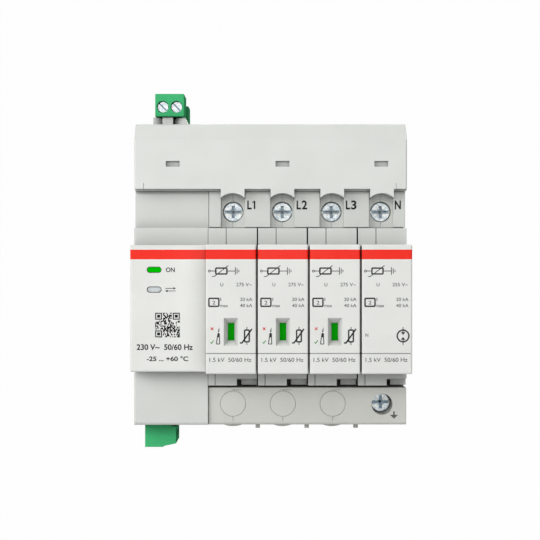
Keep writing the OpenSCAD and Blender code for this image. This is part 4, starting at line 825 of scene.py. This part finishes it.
def sweep_finish(name, colour, white_share):
    """Matt paper seen as white in that share, with its own light and shadow in the rest."""
    material, tree, shader = new_finish(name, colour, roughness=0.9)
    white = tree.nodes.new("ShaderNodeEmission")
    white.inputs["Color"].default_value = WHITE
    mix = tree.nodes.new("ShaderNodeMixShader")
    tree.links.new(combine(tree, "MULTIPLY", white_to_the_eye(tree), white_share),
                   mix.inputs["Fac"])
    tree.links.new(shader.outputs["BSDF"], mix.inputs[1])
    tree.links.new(white.outputs["Emission"], mix.inputs[2])
    tree.links.new(mix.outputs["Shader"], tree.nodes["Material Output"].inputs["Surface"])
    return material


SWEEP_GREY = (0.6, 0.6, 0.6, 1)
FLOOR_Z, FRONT_END = -0.45, -3.0
DEEP, WIDE, TALL, BEND, BEND_STEPS = 2.2, 6.0, 3.0, 0.6, 12
profile = [(FRONT_END, FLOOR_Z)]
for step in range(BEND_STEPS + 1):
    turn = math.radians(90 * step / BEND_STEPS)
    profile.append((DEEP - BEND + BEND * math.sin(turn), FLOOR_Z + BEND * (1 - math.cos(turn))))
profile.append((DEEP, FLOOR_Z + TALL))
sweep = bmesh.new()
rows = [[sweep.verts.new((side * WIDE / 2, y, z)) for side in (-1, 1)] for y, z in profile]
for near, far in zip(rows, rows[1:]):
    sweep.faces.new((near[0], near[1], far[1], far[0]))
sweep_mesh = bpy.data.meshes.new("sweep")
sweep.to_mesh(sweep_mesh)
sweep.free()
floor = bpy.data.objects.new("sweep", sweep_mesh)
floor.data.materials.append(sweep_finish("sweep", SWEEP_GREY, white_share=0.985))
bpy.context.scene.collection.objects.link(floor)


# Light
# A large soft lamp stands at the left in front and a second one above the camera. Weaker ones
# touch the upper edges and the back, and the pale room fills what is left in shade.
LAMP_AIM = (0, -0.04, 0.01)
ROOM_STRENGTH = 0.13


def soft_lamp(name, place, size, power):
    """A square lamp, in metres and watts, that looks at the fronts."""
    lamp = bpy.data.objects.new(name, bpy.data.lights.new(name, "AREA"))
    lamp.data.shape = "SQUARE"
    lamp.data.size = size
    lamp.data.energy = power
    lamp.location = place
    lamp.rotation_euler = (Vector(LAMP_AIM) - Vector(place)).to_track_quat("-Z", "Y").to_euler()
    bpy.context.scene.collection.objects.link(lamp)


soft_lamp("key_lamp", (-1.1, -0.8, 0.55), size=1.0, power=13.2)
soft_lamp("front_lamp", (-0.1, -1.7, 0.45), size=0.9, power=12.2)
soft_lamp("side_lamp", (0.6, -0.4, 1.2), size=1.0, power=4)
soft_lamp("back_lamp", (0, 1.5, 0.8), size=1.0, power=8)

world = bpy.data.worlds.new("room")
world.use_nodes = True
room = world.node_tree
room_light = spread(room, white_to_the_eye(room), 0, 1, low=ROOM_STRENGTH)
room.nodes["Background"].inputs["Color"].default_value = WHITE
room.links.new(room_light, room.nodes["Background"].inputs["Strength"])
bpy.context.scene.world = world
bpy.context.scene.view_settings.view_transform = "Standard"
